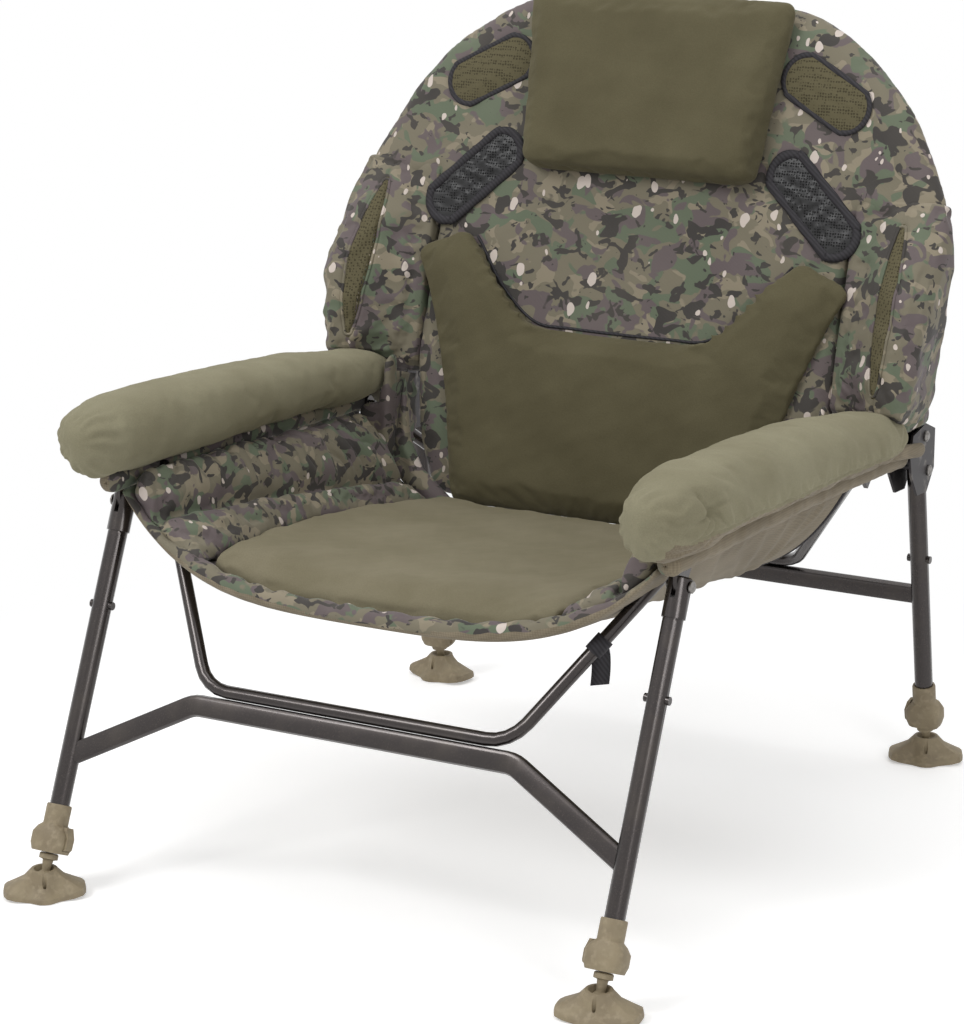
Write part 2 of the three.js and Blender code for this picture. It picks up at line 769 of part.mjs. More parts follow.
/** A U-shaped brace: bar at the bottom, sides up to flattened ends that are bolted inside the rails. */
function brace(bar, half, bend, topY, topZ) {
  const endX = FRAME.halfSpan - TUBE.railRadius - GAP - BRACE.endThickness / 2;
  const top = v3(endX, topY, topZ);
  const corner = v3(half, bar.y, bar.z);
  const along = top.clone().sub(corner).normalize();
  const tubeEnd = top.clone().addScaledVector(along, -BRACE.endLength / 2 - BRACE.endOverlap);
  const mirrorX = (point) => v3(-point.x, point.y, point.z);
  const points = [mirrorX(tubeEnd), mirrorX(corner), corner, tubeEnd];
  const tube = sweep(new Route(bentStations(points, bend, 4)), ringPoints(TUBE.braceRadius, TUBE.slimSides));
  const flat = (side) => {
    const direction = v3(0, along.y, along.z).normalize();
    const upright = v3(0, -direction.z, direction.y);
    const rounded = Array.from({ length: 7 }, (_, i) => {
      const angle = (Math.PI * i) / 6;
      return [Math.sin(angle) * BRACE.endRadius, Math.cos(angle) * BRACE.endRadius];
    });
    const foot = -BRACE.endLength / 2 - BRACE.endOverlap * 2;
    const corners = [...rounded, [foot, -TUBE.braceRadius], [foot, TUBE.braceRadius]];
    const ring = corners.map(([a, u]) => [
      topY + direction.y * a + upright.y * u,
      topZ + direction.z * a + upright.z * u,
    ]);
    const lean = plate(ring, BRACE.endThickness, side * endX);
    const hold = pin(BRACE.studRadius, BRACE.endThickness * 2, BOLT.sides)
      .translate(side * (endX - BRACE.endThickness), topY, topZ);
    return join(lean, hold);
  };
  const neck = (side) => {
    const s = v3(side * tubeEnd.x, tubeEnd.y, tubeEnd.z);
    const base = s.clone().addScaledVector(v3(side * along.x, along.y, along.z), -BRACE.endOverlap);
    const tip = v3(side * endX, topY, topZ).addScaledVector(v3(0, along.y, along.z).normalize(), -BRACE.endRadius);
    const up = v3(0, -along.z, along.y).normalize();
    const wide = v3(1, 0, 0);
    const ring = (centre, halfWide, halfUp) => Array.from({ length: TUBE.slimSides }, (_, i) => {
      const angle = (2 * Math.PI * i) / TUBE.slimSides;
      return centre.clone().addScaledVector(wide, Math.cos(angle) * halfWide)
        .addScaledVector(up, Math.sin(angle) * halfUp);
    });
    const slim = BRACE.endThickness / 2;
    return loft([
      ring(base, TUBE.braceRadius * 0.9, TUBE.braceRadius * 0.9),
      ring(base.clone().lerp(tip, 0.4), mix(TUBE.braceRadius, slim, 0.55), TUBE.braceRadius),
      ring(tip, slim, BRACE.endRadius * 0.96),
    ]);
  };
  return join(tube, flat(-1), flat(1), neck(-1), neck(1));
}

const barRadial = (frame, radial) => downLeg(frame, radial - CROSSBAR.height / 2 - GAP - TUBE.braceRadius);
const FRONT_BAR = barRadial(FRONT, CROSSBAR.frontRadial);
const REAR_BAR = barRadial(REAR, CROSSBAR.rearRadial);

/** The webbing loop round the brace's right side with its tail. */
function strap() {
  const inner = TUBE.braceRadius + STRAP.clearance;
  const outer = inner + STRAP.wall;
  const loop = new THREE.ExtrudeGeometry(
    (() => {
      const shape = outline(ringPoints(outer, TUBE.slimSides));
      shape.holes.push(outline(ringPoints(inner, TUBE.slimSides).reverse()));
      return shape;
    })(),
    { depth: STRAP.width, bevelEnabled: false },
  ).translate(0, 0, -STRAP.width / 2);
  const tail = block([-STRAP.wall / 2, 0, -STRAP.width / 2], [STRAP.wall / 2, STRAP.tail, STRAP.width / 2])
    .translate(0, inner + STRAP.wall / 4, 0);
  const tab = block([0, -STRAP.wall / 2, -STRAP.width / 2], [STRAP.tab, STRAP.wall / 2, STRAP.width / 2])
    .translate(inner + STRAP.wall / 4, 0, 0);
  const body = join(loop, tail.rotateZ(radians(STRAP.tailTilt)), tab.rotateZ(radians(-STRAP.tailTilt)));
  const endX = FRAME.halfSpan - TUBE.railRadius - GAP - BRACE.endThickness / 2;
  const top = v3(endX, BRACE.frontTopY, BRACE.frontTopZ);
  const corner = v3(FRAME.halfSpan * BRACE.frontHalfShare, FRONT_BAR.y, FRONT_BAR.z);
  const along = top.clone().sub(corner).normalize();
  const back = v3(0, 1, 0).addScaledVector(along, -along.y).normalize();
  const down = back.clone().cross(along);
  body.applyMatrix4(new THREE.Matrix4().makeBasis(back, down, back.clone().cross(down)));
  const at = corner.lerp(top, STRAP.along);
  return outward(stripped(body.translate(at.x, at.y, at.z)));
}

// Legs.

/** An outer leg in its own frame: hinge at the origin, foot down -Z, with the rivet's two heads. */
function outerLeg(frame, forked) {
  const bottom = -(frame.length - LEG.frontTubeEnd);
  const bore = TUBE.legRadius - TUBE.legWall;
  const top = forked ? -HEAD.length : HEAD.above + HEAD.chamfer;
  const rivetZ = -RIVET.below;
  const head = pin(RIVET.headRadius, 2 * (TUBE.legRadius + RIVET.headHeight), BOLT.sides)
    .translate(0, 0, rivetZ);
  const tube = join(post(TUBE.legRadius, bottom, top, TUBE.sides), head);
  const solidTop = forked ? -HEAD.length : -RIVET.below + RIVET.headRadius + RIVET.dome;
  const hollow = post(bore, bottom - OVERRUN, rivetZ - RIVET.headRadius - RIVET.dome, TUBE.sides);
  if (!forked) {
    const hole = pin(BOLT.hole, 2 * (TUBE.legRadius + OVERRUN), BOLT.sides);
    return cut(tube, hollow, hole);
  }
  const sleeve = turned([
    [0, solidTop],
    [HEAD.radius, solidTop],
    [HEAD.radius, HEAD.above - HEAD.chamfer],
    [HEAD.radius - HEAD.chamfer, HEAD.above],
    [0, HEAD.above],
  ], TUBE.sides);
  const slotHalf = RAIL.lugThickness / 2 + RAIL.lugClearance;
  const slot = block(
    [-slotHalf, -HEAD.radius - OVERRUN, -HEAD.slotBelow],
    [slotHalf, HEAD.radius + OVERRUN, HEAD.above + OVERRUN],
  );
  const hole = pin(BOLT.hole, 2 * (HEAD.radius + OVERRUN), BOLT.sides);
  const longer = post(TUBE.legRadius, top - OVERRUN, top + OVERRUN, TUBE.sides);
  return cut(join(tube, longer, sleeve), hollow, slot, hole);
}

/** A flat-oval section: tall across the route, slim along the side vector. */
function ovalSection(slim, tall) {
  const corner = slim * 0.42;
  const [a, b] = [slim / 2, tall / 2];
  return [
    [a, b - corner], [a - corner * 0.3, b - corner * 0.3], [a - corner, b],
    [-a + corner, b], [-a + corner * 0.3, b - corner * 0.3], [-a, b - corner],
    [-a, -b + corner], [-a + corner * 0.3, -b + corner * 0.3], [-a + corner, -b],
    [a - corner, -b], [a - corner * 0.3, -b + corner * 0.3], [a, -b + corner],
  ];
}

/** A crossbar in the leg frame's plane, its ends cut to the legs' round. */
function crossbar(points, length) {
  const route = new Route(bentStations(points, CROSSBAR.bendRadius, 3), v3(0, 1, 0));
  const bar = sweep(route, ovalSection(CROSSBAR.depth, CROSSBAR.height));
  const saddle = (side) => post(TUBE.legRadius + GAP, -length, 0, TUBE.sides)
    .translate(side * FRAME.halfSpan, 0, 0);
  return cut(bar, saddle(-1), saddle(1));
}

/** The clamp collar at the foot of an outer leg, with its base at the origin. Lever on +X. */
function collar() {
  const n = COLLAR.points;
  const body = loft([
    superRing(COLLAR.footHalfWidth, COLLAR.footHalfDepth, COLLAR.bodyExponent, 0, n),
    superRing(COLLAR.halfWidth, COLLAR.halfDepth, COLLAR.bodyExponent, COLLAR.chin, n),
    superRing(COLLAR.halfWidth, COLLAR.halfDepth, COLLAR.bodyExponent, COLLAR.flare, n),
    superRing(COLLAR.shoulderHalf, COLLAR.neckRadius + COLLAR.rim, COLLAR.bodyExponent, COLLAR.shoulder, n),
    superRing(COLLAR.neckRadius, COLLAR.neckRadius, COLLAR.neckExponent, COLLAR.neckBase, n),
    superRing(COLLAR.neckRadius, COLLAR.neckRadius, COLLAR.neckExponent, COLLAR.height - COLLAR.rim, n),
    superRing(
      COLLAR.neckRadius - COLLAR.rim / 2,
      COLLAR.neckRadius - COLLAR.rim / 2,
      COLLAR.neckExponent,
      COLLAR.height,
      n,
    ),
  ]);
  const bore = post(COLLAR.bore, -OVERRUN, COLLAR.height + OVERRUN, TUBE.sides);
  const seat = post(TUBE.legRadius + GAP, COLLAR.wallAbove, COLLAR.height + OVERRUN, TUBE.sides);
  const pocket = block(
    [COLLAR.halfWidth - COLLAR.pocketDepth, -COLLAR.pocketHalf, COLLAR.pocketBase],
    [COLLAR.halfWidth + OVERRUN, COLLAR.pocketHalf, COLLAR.pocketTop],
  );
  return cut(body, bore, seat, pocket);
}

/** The release lever, pivot line at its lower end along Y, lying in the collar's pocket. */
function lever() {
  const half = COLLAR.pocketHalf - LEVER.clearance;
  const inner = COLLAR.halfWidth - COLLAR.pocketDepth + LEVER.clearance;
  const base = COLLAR.pocketBase + LEVER.clearance;
  const top = COLLAR.pocketTop - LEVER.clearance;
  const tipX = inner + LEVER.tipDepth;
  const bodyX = inner + LEVER.thickness + LEVER.proud;
  const [px, pz] = [inner + LEVER.pinInset, base + LEVER.pinHeight];
  const round = Array.from({ length: 7 }, (_, i) => {
    const angle = Math.PI + (Math.PI * i) / 6;
    return [px + LEVER.pinHeight * Math.cos(angle), pz + LEVER.pinHeight * Math.sin(angle)];
  });
  const profile = [
    ...round, [bodyX, mix(base, top, LEVER.knuckleShare)], [tipX + LEVER.waist, top], [inner, top],
  ];
  const shape = outline(profile);
  return new THREE.ExtrudeGeometry(shape, { depth: 2 * half, bevelEnabled: false })
    .rotateX(Math.PI / 2).translate(0, half, 0);
}

/** The inner leg: a tube with its lower end at innerBase above the ball. */
function innerLeg() {
  const wall = TUBE.legWall;
  const top = LEG.innerBase + LEG.innerInsideLength;
  const tube = post(LEG.innerRadius, LEG.innerBase, top, TUBE.sides);
  const hollow = post(LEG.innerRadius - wall, LEG.innerBase + wall, top + OVERRUN, TUBE.sides);
  return cut(tube, hollow);
}

/** The ankle: ring, neck and ball turned in one, ball centre at the origin. */
function ankle() {
  const start = Math.asin(ANKLE.neckRadius / ANKLE.ballRadius);
  const ball = Array.from({ length: ANKLE.ballSteps }, (_, i) => {
    const angle = Math.PI - ((Math.PI - start) * i) / (ANKLE.ballSteps - 1);
    return [i === 0 ? 0 : ANKLE.ballRadius * Math.sin(angle), ANKLE.ballRadius * Math.cos(angle)];
  });
  const profile = [
    ...ball,
    [ANKLE.neckFlare, ANKLE.ringBase],
    [ANKLE.ringRadius, ANKLE.ringBase + ANKLE.chamfer],
    [ANKLE.ringRadius, ANKLE.ringTop - ANKLE.chamfer],
    [ANKLE.ringRadius - ANKLE.chamfer, ANKLE.ringTop],
    [0, ANKLE.ringTop],
  ];
  return turned(profile, ANKLE.sides);
}

/** A mud foot: two ramped wings and two skirts round a socket, ball centre at the origin. */
function mudFoot() {
  const quarter = FOOT.outlineShares.length - 1;
  const count = quarter * 4;
  const fold = (i) => {
    const k = i % (2 * quarter);
    return k <= quarter ? k : 2 * quarter - k;
  };
  const ground = -FOOT.under;
  const direction = (i) => (2 * Math.PI * i) / count;
  const crest = (i, share) => {
    const wing = mix(FOOT.wingTop, ground + FOOT.wingTip, share);
    const skirt = mix(-FOOT.skirtHub, ground + FOOT.skirtTip, share ** 0.8);
    return mix(skirt, wing, FOOT.crestShares[fold(i)]);
  };
  const ring = (radiusAt, heightAt) => Array.from({ length: count }, (_, i) => {
    const r = radiusAt(i);
    return v3(r * Math.cos(direction(i)), r * Math.sin(direction(i)), heightAt(i));
  });
  const rim = (i) => FOOT.radius * FOOT.outlineShares[fold(i)];
  const lift = (i) => FOOT.tipLift * FOOT.crestShares[fold(i)];
  const rings = [
    ring((i) => rim(i) * FOOT.flatShare, () => ground),
    ring((i) => rim(i), (i) => ground + lift(i)),
    ring((i) => rim(i), (i) => ground + lift(i) + FOOT.plate),
  ];
  for (const share of [...FOOT.ringShares].reverse()) {
    rings.push(ring((i) => mix(FOOT.hubRadius, rim(i), share ** 1.1), (i) => crest(i, share)));
  }
  rings.push(ring(() => FOOT.hubRadius, () => FOOT.rise));
  const hollow = ANKLE.ballRadius + GAP * 2;
  const floor = Array.from({ length: ANKLE.ballSteps }, (_, i) => {
    const angle = Math.PI - ((Math.PI - Math.asin(FOOT.lipRadius / hollow)) * i) / (ANKLE.ballSteps - 1);
    return [i === 0 ? 0 : hollow * Math.sin(angle), hollow * Math.cos(angle)];
  });
  const socket = turned([
    ...floor,
    [FOOT.mouthRadius, FOOT.rise],
    [FOOT.mouthRadius, FOOT.rise + OVERRUN],
    [0, FOOT.rise + OVERRUN],
  ], ANKLE.sides);
  const pockets = [0, Math.PI].map((turn) => post(
    FOOT.pocketRadius, -FOOT.pocketDepth, FOOT.wingTop + OVERRUN, BOLT.sides,
  ).translate(0, FOOT.pocketReach, 0).rotateZ(turn));
  return cut(loft(rings), socket, ...pockets);
}

// Cloth and cushions.

/** The hammock: a thin cloth slab with a padded roll along its front edge. */
function sling() {
  const half = SLING.xShares.map(slingX);
  const xs = [...half.slice(1).reverse().map((x) => -x), ...half];
  const at = (x, y, side) => {
    const roll = SLING.roll * (1 - smooth(SLING.frontY, SLING.frontY + SLING.rollReach, y));
    const centre = 1 - smooth(padEdge, slingEdge, Math.abs(x));
    const back = curved(x, y);
    const top = slingTop(x, back) + (y < SEAT_PAD.frontY - OVERRUN ? roll * centre : 0);
    return v3(x, back, side ? top : slingUnder(x, back));
  };
  return cut(slab(xs, slingStations, at), braceRoom(SOFT_GAP * 2));
}

/** The room that the front brace needs, as a thicker copy of its sides. */
function braceRoom(clearance) {
  const endX = FRAME.halfSpan - TUBE.railRadius - GAP - BRACE.endThickness / 2;
  const top = v3(endX, BRACE.frontTopY, BRACE.frontTopZ);
  const corner = v3(FRAME.halfSpan * BRACE.frontHalfShare, FRONT_BAR.y, FRONT_BAR.z);
  const along = top.clone().sub(corner).normalize();
  const beyond = top.clone().addScaledVector(along, BRACE.endLength);
  const side = (sign) => {
    const flip = (point) => v3(sign * point.x, point.y, point.z);
    const stations = pointStations([flip(corner), flip(beyond)]);
    return sweep(new Route(stations), ringPoints(BRACE.endRadius + clearance, TUBE.slimSides));
  };
  const room = BRACE.endThickness / 2 + clearance;
  const end = (sign) => block(
    [-room, -BRACE.endLength, -BRACE.endLength],
    [room, BRACE.endRadius + clearance, BRACE.endRadius + clearance],
  ).translate(sign * endX, BRACE.frontTopY, BRACE.frontTopZ);
  return join(side(-1), side(1), end(-1), end(1));
}

/** A cushion on the hammock between two x limits, with a crown and drawn-in edges. */
function slingCushion(xs, ys, heightAt) {
  const at = (x, y, side) => {
    const back = curved(x, y);
    const low = slingTop(x, back) + SOFT_GAP;
    return v3(x, back, side ? low + heightAt(x, y) : low);
  };
  return slab(xs, ys, at);
}

/** How full a cushion is across a span: 0 at its edges, 1 well inside. */
function fullness(value, low, high, reach) {
  const inside = Math.min(value - low, high - value) / reach;
  return Math.sqrt(1 - (1 - THREE.MathUtils.clamp(inside, 0, 1)) ** 2);
}

/** Stations of the hammock that fall strictly inside two limits, with the limits themselves. */
function between(stations, low, high) {
  return [low, ...stations.filter((value) => value > low + OVERRUN && value < high - OVERRUN), high];
}

function seatPad() {
  const half = SLING.xShares.map(slingX);
  const xs = between([...half.slice(1).reverse().map((x) => -x), ...half], -padEdge, padEdge);
  const near = SEAT_PAD.waterfall;
  const ys = between(
    [...slingStations, SEAT_PAD.frontY + near].sort((a, b) => a - b), SEAT_PAD.frontY, SEAT_PAD.rearY,
  );
  const reach = SEAT_PAD.thickness * 1.6;
  return slingCushion(xs, ys, (x, y) => {
    const full = fullness(x, -padEdge, padEdge, reach * 1.5)
      * fullness(y, SEAT_PAD.frontY, SEAT_PAD.rearY, reach);
    return mix(SEAT_PAD.edge, SEAT_PAD.thickness, full);
  });
}

function sideBolster(side) {
  const half = SLING.xShares.map(slingX);
  const [inner, outer] = [padEdge + BOLSTER.padClearance, slingEdge * BOLSTER.outerShare];
  const xs = between(half, inner, outer);
  const ys = between(
    [...slingStations, BOLSTER.frontY + BOLSTER.endReach / 2].sort((a, b) => a - b),
    BOLSTER.frontY,
    BOLSTER.rearY,
  );
  const body = slingCushion(xs, ys, (x, y) => {
    const share = (x - inner) / (outer - inner);
    const full = lookUp(BOLSTER.xShares, BOLSTER.fillShares, share)
      * fullness(y, BOLSTER.frontY, BOLSTER.rearY, BOLSTER.endReach);
    return mix(BOLSTER.edge, BOLSTER.thickness, full);
  });
  return cut(handed(body, side), braceRoom(SOFT_GAP * 2));
}

/** An arm pad: a fleece roll over the rail, with a drooping nose and a stitched tuck on its outer side. */
function armPad(side) {
  const rings = ARM.yShares.map((share, k) => Array.from({ length: ARM.points }, (_, i) => {
    const y = mix(ARM.frontY, ARM.rearY, share);
    const angle = (2 * Math.PI * i) / ARM.points;
    const [c, s] = [Math.cos(angle), Math.sin(angle)];
    const power = 2 / ARM.exponent;
    const tuck = ARM.tuckDepth * Math.exp(-(((y - ARM.tuckY) / ARM.tuckReach) ** 2)) * Math.max(-s, 0);
    const seam = 1 - ARM.seamDropShare * Math.max(-s, 0) ** 2;
    const x = (ARM.halfWidth * ARM.widthShares[k] - tuck) * Math.sign(c) * Math.abs(c) ** power * seam;
    const z = ARM.halfHeight * ARM.heightShares[k] * Math.sign(s) * Math.abs(s) ** power;
    return v3(side * (FRAME.halfSpan + x), y, ARM.lowZ + ARM.rise * ARM.zShares[k] + z);
  }));
  const room = (radius, from, to) => {
    const ys = [from, ...railYs.filter((y) => y > from && y < to), to];
    const points = ys.map((y) => v3(side * FRAME.halfSpan, y, railZ(y)));
    return sweep(new Route(pointStations(points)), ringPoints(radius, TUBE.slimSides));
  };
  const cover = room(COVER.inner + COVER.wall + SOFT_GAP, RAIL.frontY - OVERRUN, ARM.rearY + OVERRUN);
  return cut(loft(rings), cover, braceRoom(SOFT_GAP));
}

/** A closed outline of the back, both halves, from the right half's shares. */
function backOutline(xs, sShares, base, height) {
  const right = xs.map((x, i) => [x, base + sShares[i] * height]);
  const left = right.filter(([x]) => x > 0).reverse().map(([x, s]) => [-x, s]);
  return [...right, ...left];
}

/** A pad on the back's face: flat behind, its front rising over a drawn-in edge. */
function backPad(points, centre, heights, ringShares, base) {
  const ringAt = (share, out) => points.map(([x, s]) => onBack(
    mix(centre[0], x, share), mix(centre[1], s, share), out,
  ));
  const rings = [ringAt(1, base)];
  ringShares.forEach((share, i) => rings.push(ringAt(share, base + heights[i])));
  return loft(rings);
}

function lumbarPad() {
  const xs = LUMBAR.xShares.map((share) => share * LUMBAR.widthShare * FRAME.halfSpan);
  const points = backOutline(xs, LUMBAR.sShares, LUMBAR.s, LUMBAR.height);
  const centre = [0, LUMBAR.s + LUMBAR.centreShare * LUMBAR.height];
  const full = LUMBAR.thickness;
  const heights = [LUMBAR.edge, full * 0.62, full * 0.8, full * 0.92, full];
  return backPad(points, centre, heights, [1, 0.965, 0.9, 0.68, 0.3], SOFT_GAP);
}

function pillow() {
  const { s, top, corner } = PILLOW;
  const [topX, lowX] = [PILLOW.topXShare, PILLOW.lowXShare].map((share) => share * FRAME.halfSpan);
  const rounded = (x, y, towards) => towards.map(([dx, dy]) => [x + dx * corner, y + dy * corner]);
  const right = [
    ...rounded(lowX, s, [[-1, 0], [-0.3, 0.3], [0, 1]]),
    ...rounded(topX, top, [[0, -1], [-0.3, -0.3], [-1, 0]]),
  ];
  const left = right.map(([x, y]) => [-x, y]).reverse();
  const straight = [[0, top], ...left, [0, s]];
  const points = [...right, ...straight];
  const full = PILLOW.thickness;
  const heights = [PILLOW.edge, full * 0.68, full * 0.88, full * 0.97, full];
  return backPad(points, [0, mix(s, top, PILLOW.centreShare)], heights, [1, 0.94, 0.84, 0.6, 0.3], SOFT_GAP);
}

/** A rounded strip of mesh let into the back, along a slanting centre line. */
function backStrip(spec, side) {
  const [lowX, highX] = [spec.lowXShare * FRAME.halfSpan, spec.highXShare * FRAME.halfSpan];
  const [dx, ds] = [highX - lowX, spec.highS - spec.lowS];
  const length = Math.hypot(dx, ds);
  const [ux, us] = [dx / length, ds / length];
  const steps = 5;
  const end = (x, s, from) => Array.from({ length: steps }, (_, i) => {
    const angle = from + (Math.PI * i) / (steps - 1);
    const [a, n] = [Math.sin(angle) * spec.half * 0.7, Math.cos(angle) * spec.half];
    return [side * (x + ux * a - us * n), s + us * a + ux * n];
  });
  const points = [...end(highX, spec.highS, 0), ...end(lowX, spec.lowS, Math.PI)];
  const centre = [side * mix(lowX, highX, 0.5), mix(spec.lowS, spec.highS, 0.5)];
  return backPad(points, centre, [spec.edge, spec.thickness], [1, 0.82], SOFT_GAP);
}

/** The hoop's route: up from both hinges, a kink, and the bow inside the rim. */
function hoopPoints() {
  const depth = -BACK.thickness * HOOP.depthShare;
  const kink = onBack(0, HOOP.bowS, depth);
  const low = HOOP.lowShares.map((share, i) => {
    const z = mix(HOOP.lowZ, HOOP.kinkZ, share);
    const up = (z - FRAME.backHingeZ) / (kink.z - FRAME.backHingeZ);
    const x = mix(FRAME.halfSpan, HOOP.halfWidth, HOOP.splayShares[i]);
    return v3(x, mix(FRAME.backHingeY, kink.y, up), z);
  });
  const bow = HOOP.bowWidthShares.map((share, i) => onBack(
    share * HOOP.halfWidth, HOOP.bowS + HOOP.bowHeight * HOOP.bowShares[i], depth,
  ));
  const right = [...low.slice(0, -1), ...bow];
  const left = right.slice(0, -1).reverse().map((point) => v3(-point.x, point.y, point.z));
  return [...right, ...left];
}

function hoop() {
  const route = new Route(pointStations(hoopPoints()));
  const tube = sweep(route, ringPoints(TUBE.hoopRadius, HOOP.slimSides));
  const holes = [-1, 1].map((side) => pin(BOLT.hole, 2 * (TUBE.hoopRadius + OVERRUN), BOLT.sides)
    .translate(side * FRAME.halfSpan, FRAME.backHingeY, FRAME.backHingeZ));
  return cut(tube, ...holes);
}

function hoopRoom() {
  const route = new Route(pointStations(hoopPoints()));
  return sweep(route, ringPoints(TUBE.hoopRadius + HOOP.bore, HOOP.slimSides));
}

function backShell() {
  const xs = [
    ...BACK.lowXShares.map((share) => share * FRAME.halfSpan),
    ...BACK.highXShares.map((share) => share * BACK.halfWidth),
  ];
  const points = backOutline(xs, BACK.sShares, 0, BACK.height);
  const centre = [0, BACK.centreShare * BACK.height];
  const ringAt = (share, out) => points.map(([x, s]) => onBack(x * share, mix(centre[1], s, share), out));
  const deep = -BACK.thickness;
  const edge = BACK.rimEdge;
  const shares = [...BACK.ringShares].reverse();
  const rings = [
    ...shares.map((share, i) => ringAt(share, deep + (i === shares.length - 1 ? edge * 0.12 : 0))),
    ringAt(1, deep + edge),
    ringAt(1, -edge),
    ...[...BACK.ringShares].map((share, i) => ringAt(share, i === 0 ? -edge * 0.12 : 0)),
  ];
  return cut(loft(rings), hoopRoom());
}

/** How far the hoop's centre line lies behind the back face, at a height along the face. */
function hoopOut(s) {
  const low = v3(0, FRAME.backHingeY - BACK.y, FRAME.backHingeZ - BACK.z);
  const lowS = low.y * Math.sin(recline) + low.z * Math.cos(recline);
  const lowOut = low.z * Math.sin(recline) - low.y * Math.cos(recline);
  return lookUp([lowS, HOOP.bowS], [lowOut, -BACK.thickness * HOOP.depthShare], s);
}

/** Half width of the hoop at a height along the back face, below its kink. */
function hoopX(s) {
  const z = BACK.z + s * Math.cos(recline);
  const share = (z - HOOP.lowZ) / (HOOP.kinkZ - HOOP.lowZ);
  return mix(FRAME.halfSpan, HOOP.halfWidth, lookUp(HOOP.lowShares, HOOP.splayShares, share));
}

/** A padded side of the back that comes forward over the arm and wraps the hoop down to its hinge. */
function backWing(side) {
  const section = (share, width, forward, fill) => {
    const s = mix(WING.base, WING.top, share);
    const outer = BACK.halfWidth * width;
    const inner = BACK.lowXShares.at(-1) * FRAME.halfSpan + SOFT_GAP;
    const depth = WING.depth * fill;
    const reach = WING.forward * forward;
    const sleeve = Math.min(reach - depth, hoopOut(s) - WING.sleeveSkin);
    const front = [
      [inner, Math.min(-SOFT_GAP, reach)], [mix(inner, outer, 0.3), Math.min(reach * 0.28, reach + depth / 4)],
      [mix(inner, outer, 0.6), Math.min(reach * 0.8, reach + depth / 8)],
      [mix(inner, outer, 0.85), reach], [outer, reach - depth * 0.2],
    ];
    const sleeveX = Math.min(outer, hoopX(s) + mix(WING.sleeveSide, WING.sleeveTop, share));
    const rear = [
      [sleeveX, sleeve + depth * 0.3], [mix(inner, sleeveX, 0.85), sleeve],
      [mix(inner, outer, 0.5), sleeve + depth * 0.1], [mix(inner, outer, 0.22), mix(-depth, sleeve, 0.5)],
      [inner, Math.min(reach * 0.28 - depth, -depth)],
    ];
    return [...front, ...rear].map(([x, out]) => onBack(side * x, s, out));
  };
  const rings = WING.stationShares.map((share, i) => section(
    share, WING.widthShares[i], WING.forwardShares[i], WING.endShares[i],
  ));
  return cut(loft(rings), hoopRoom());
}

// Assembly.

const chair = new THREE.Group();
const place = (mesh, x, y, z) => {
  mesh.position.set(x, y, z);
  return mesh;
};

// Fixed frame.
for (const [name, side] of Object.entries(SIDES)) {
  const x = side * FRAME.halfSpan;
  const cheeks = TUBE.railRadius + BRACKET.clearance + BRACKET.cheek;
  chair.add(part(`arm_rail_${name}`, armRail(x), 'gunmetal'));
  chair.add(part(`rail_cover_${name}`, railCover(side), 'khaki_cloth'));
  chair.add(place(part(`rear_bracket_${name}`, rearBracket(), 'dark_steel'), x, 0, 0));
  const hinge = handed(bolt(HEAD.radius), side);
  const wide = handed(bolt(cheeks), side);
  chair.add(place(part(`front_hinge_bolt_${name}`, hinge, 'zinc'), x, FRONT.y, FRONT.z));
  chair.add(place(part(`rear_hinge_bolt_${name}`, wide, 'zinc'), x, REAR.y, REAR.z));
  chair.add(place(
    part(`back_hinge_bolt_${name}`, wide.clone(), 'zinc'), x, FRAME.backHingeY, FRAME.backHingeZ,
  ));
  chair.add(part(`side_bolster_${name}`, sideBolster(side), 'camo_cloth'));
  chair.add(part(`arm_pad_${name}`, armPad(side), 'olive_fleece'));
}
chair.add(part(
  'front_brace',
  brace(FRONT_BAR, FRAME.halfSpan * BRACE.frontHalfShare, BRACE.bendRadius, BRACE.frontTopY, BRACE.frontTopZ),
  'gunmetal',
));
chair.add(part(
  'rear_brace',
  brace(REAR_BAR, FRAME.halfSpan * BRACE.rearHalfShare, BRACE.rearBendRadius, BRACE.rearTopY, BRACE.rearTopZ),
  'gunmetal',
));
chair.add(part('brace_strap', strap(), 'webbing'));
chair.add(part('seat_sling', sling(), 'khaki_cloth'));
chair.add(part('seat_pad', seatPad(), 'olive_fleece'));

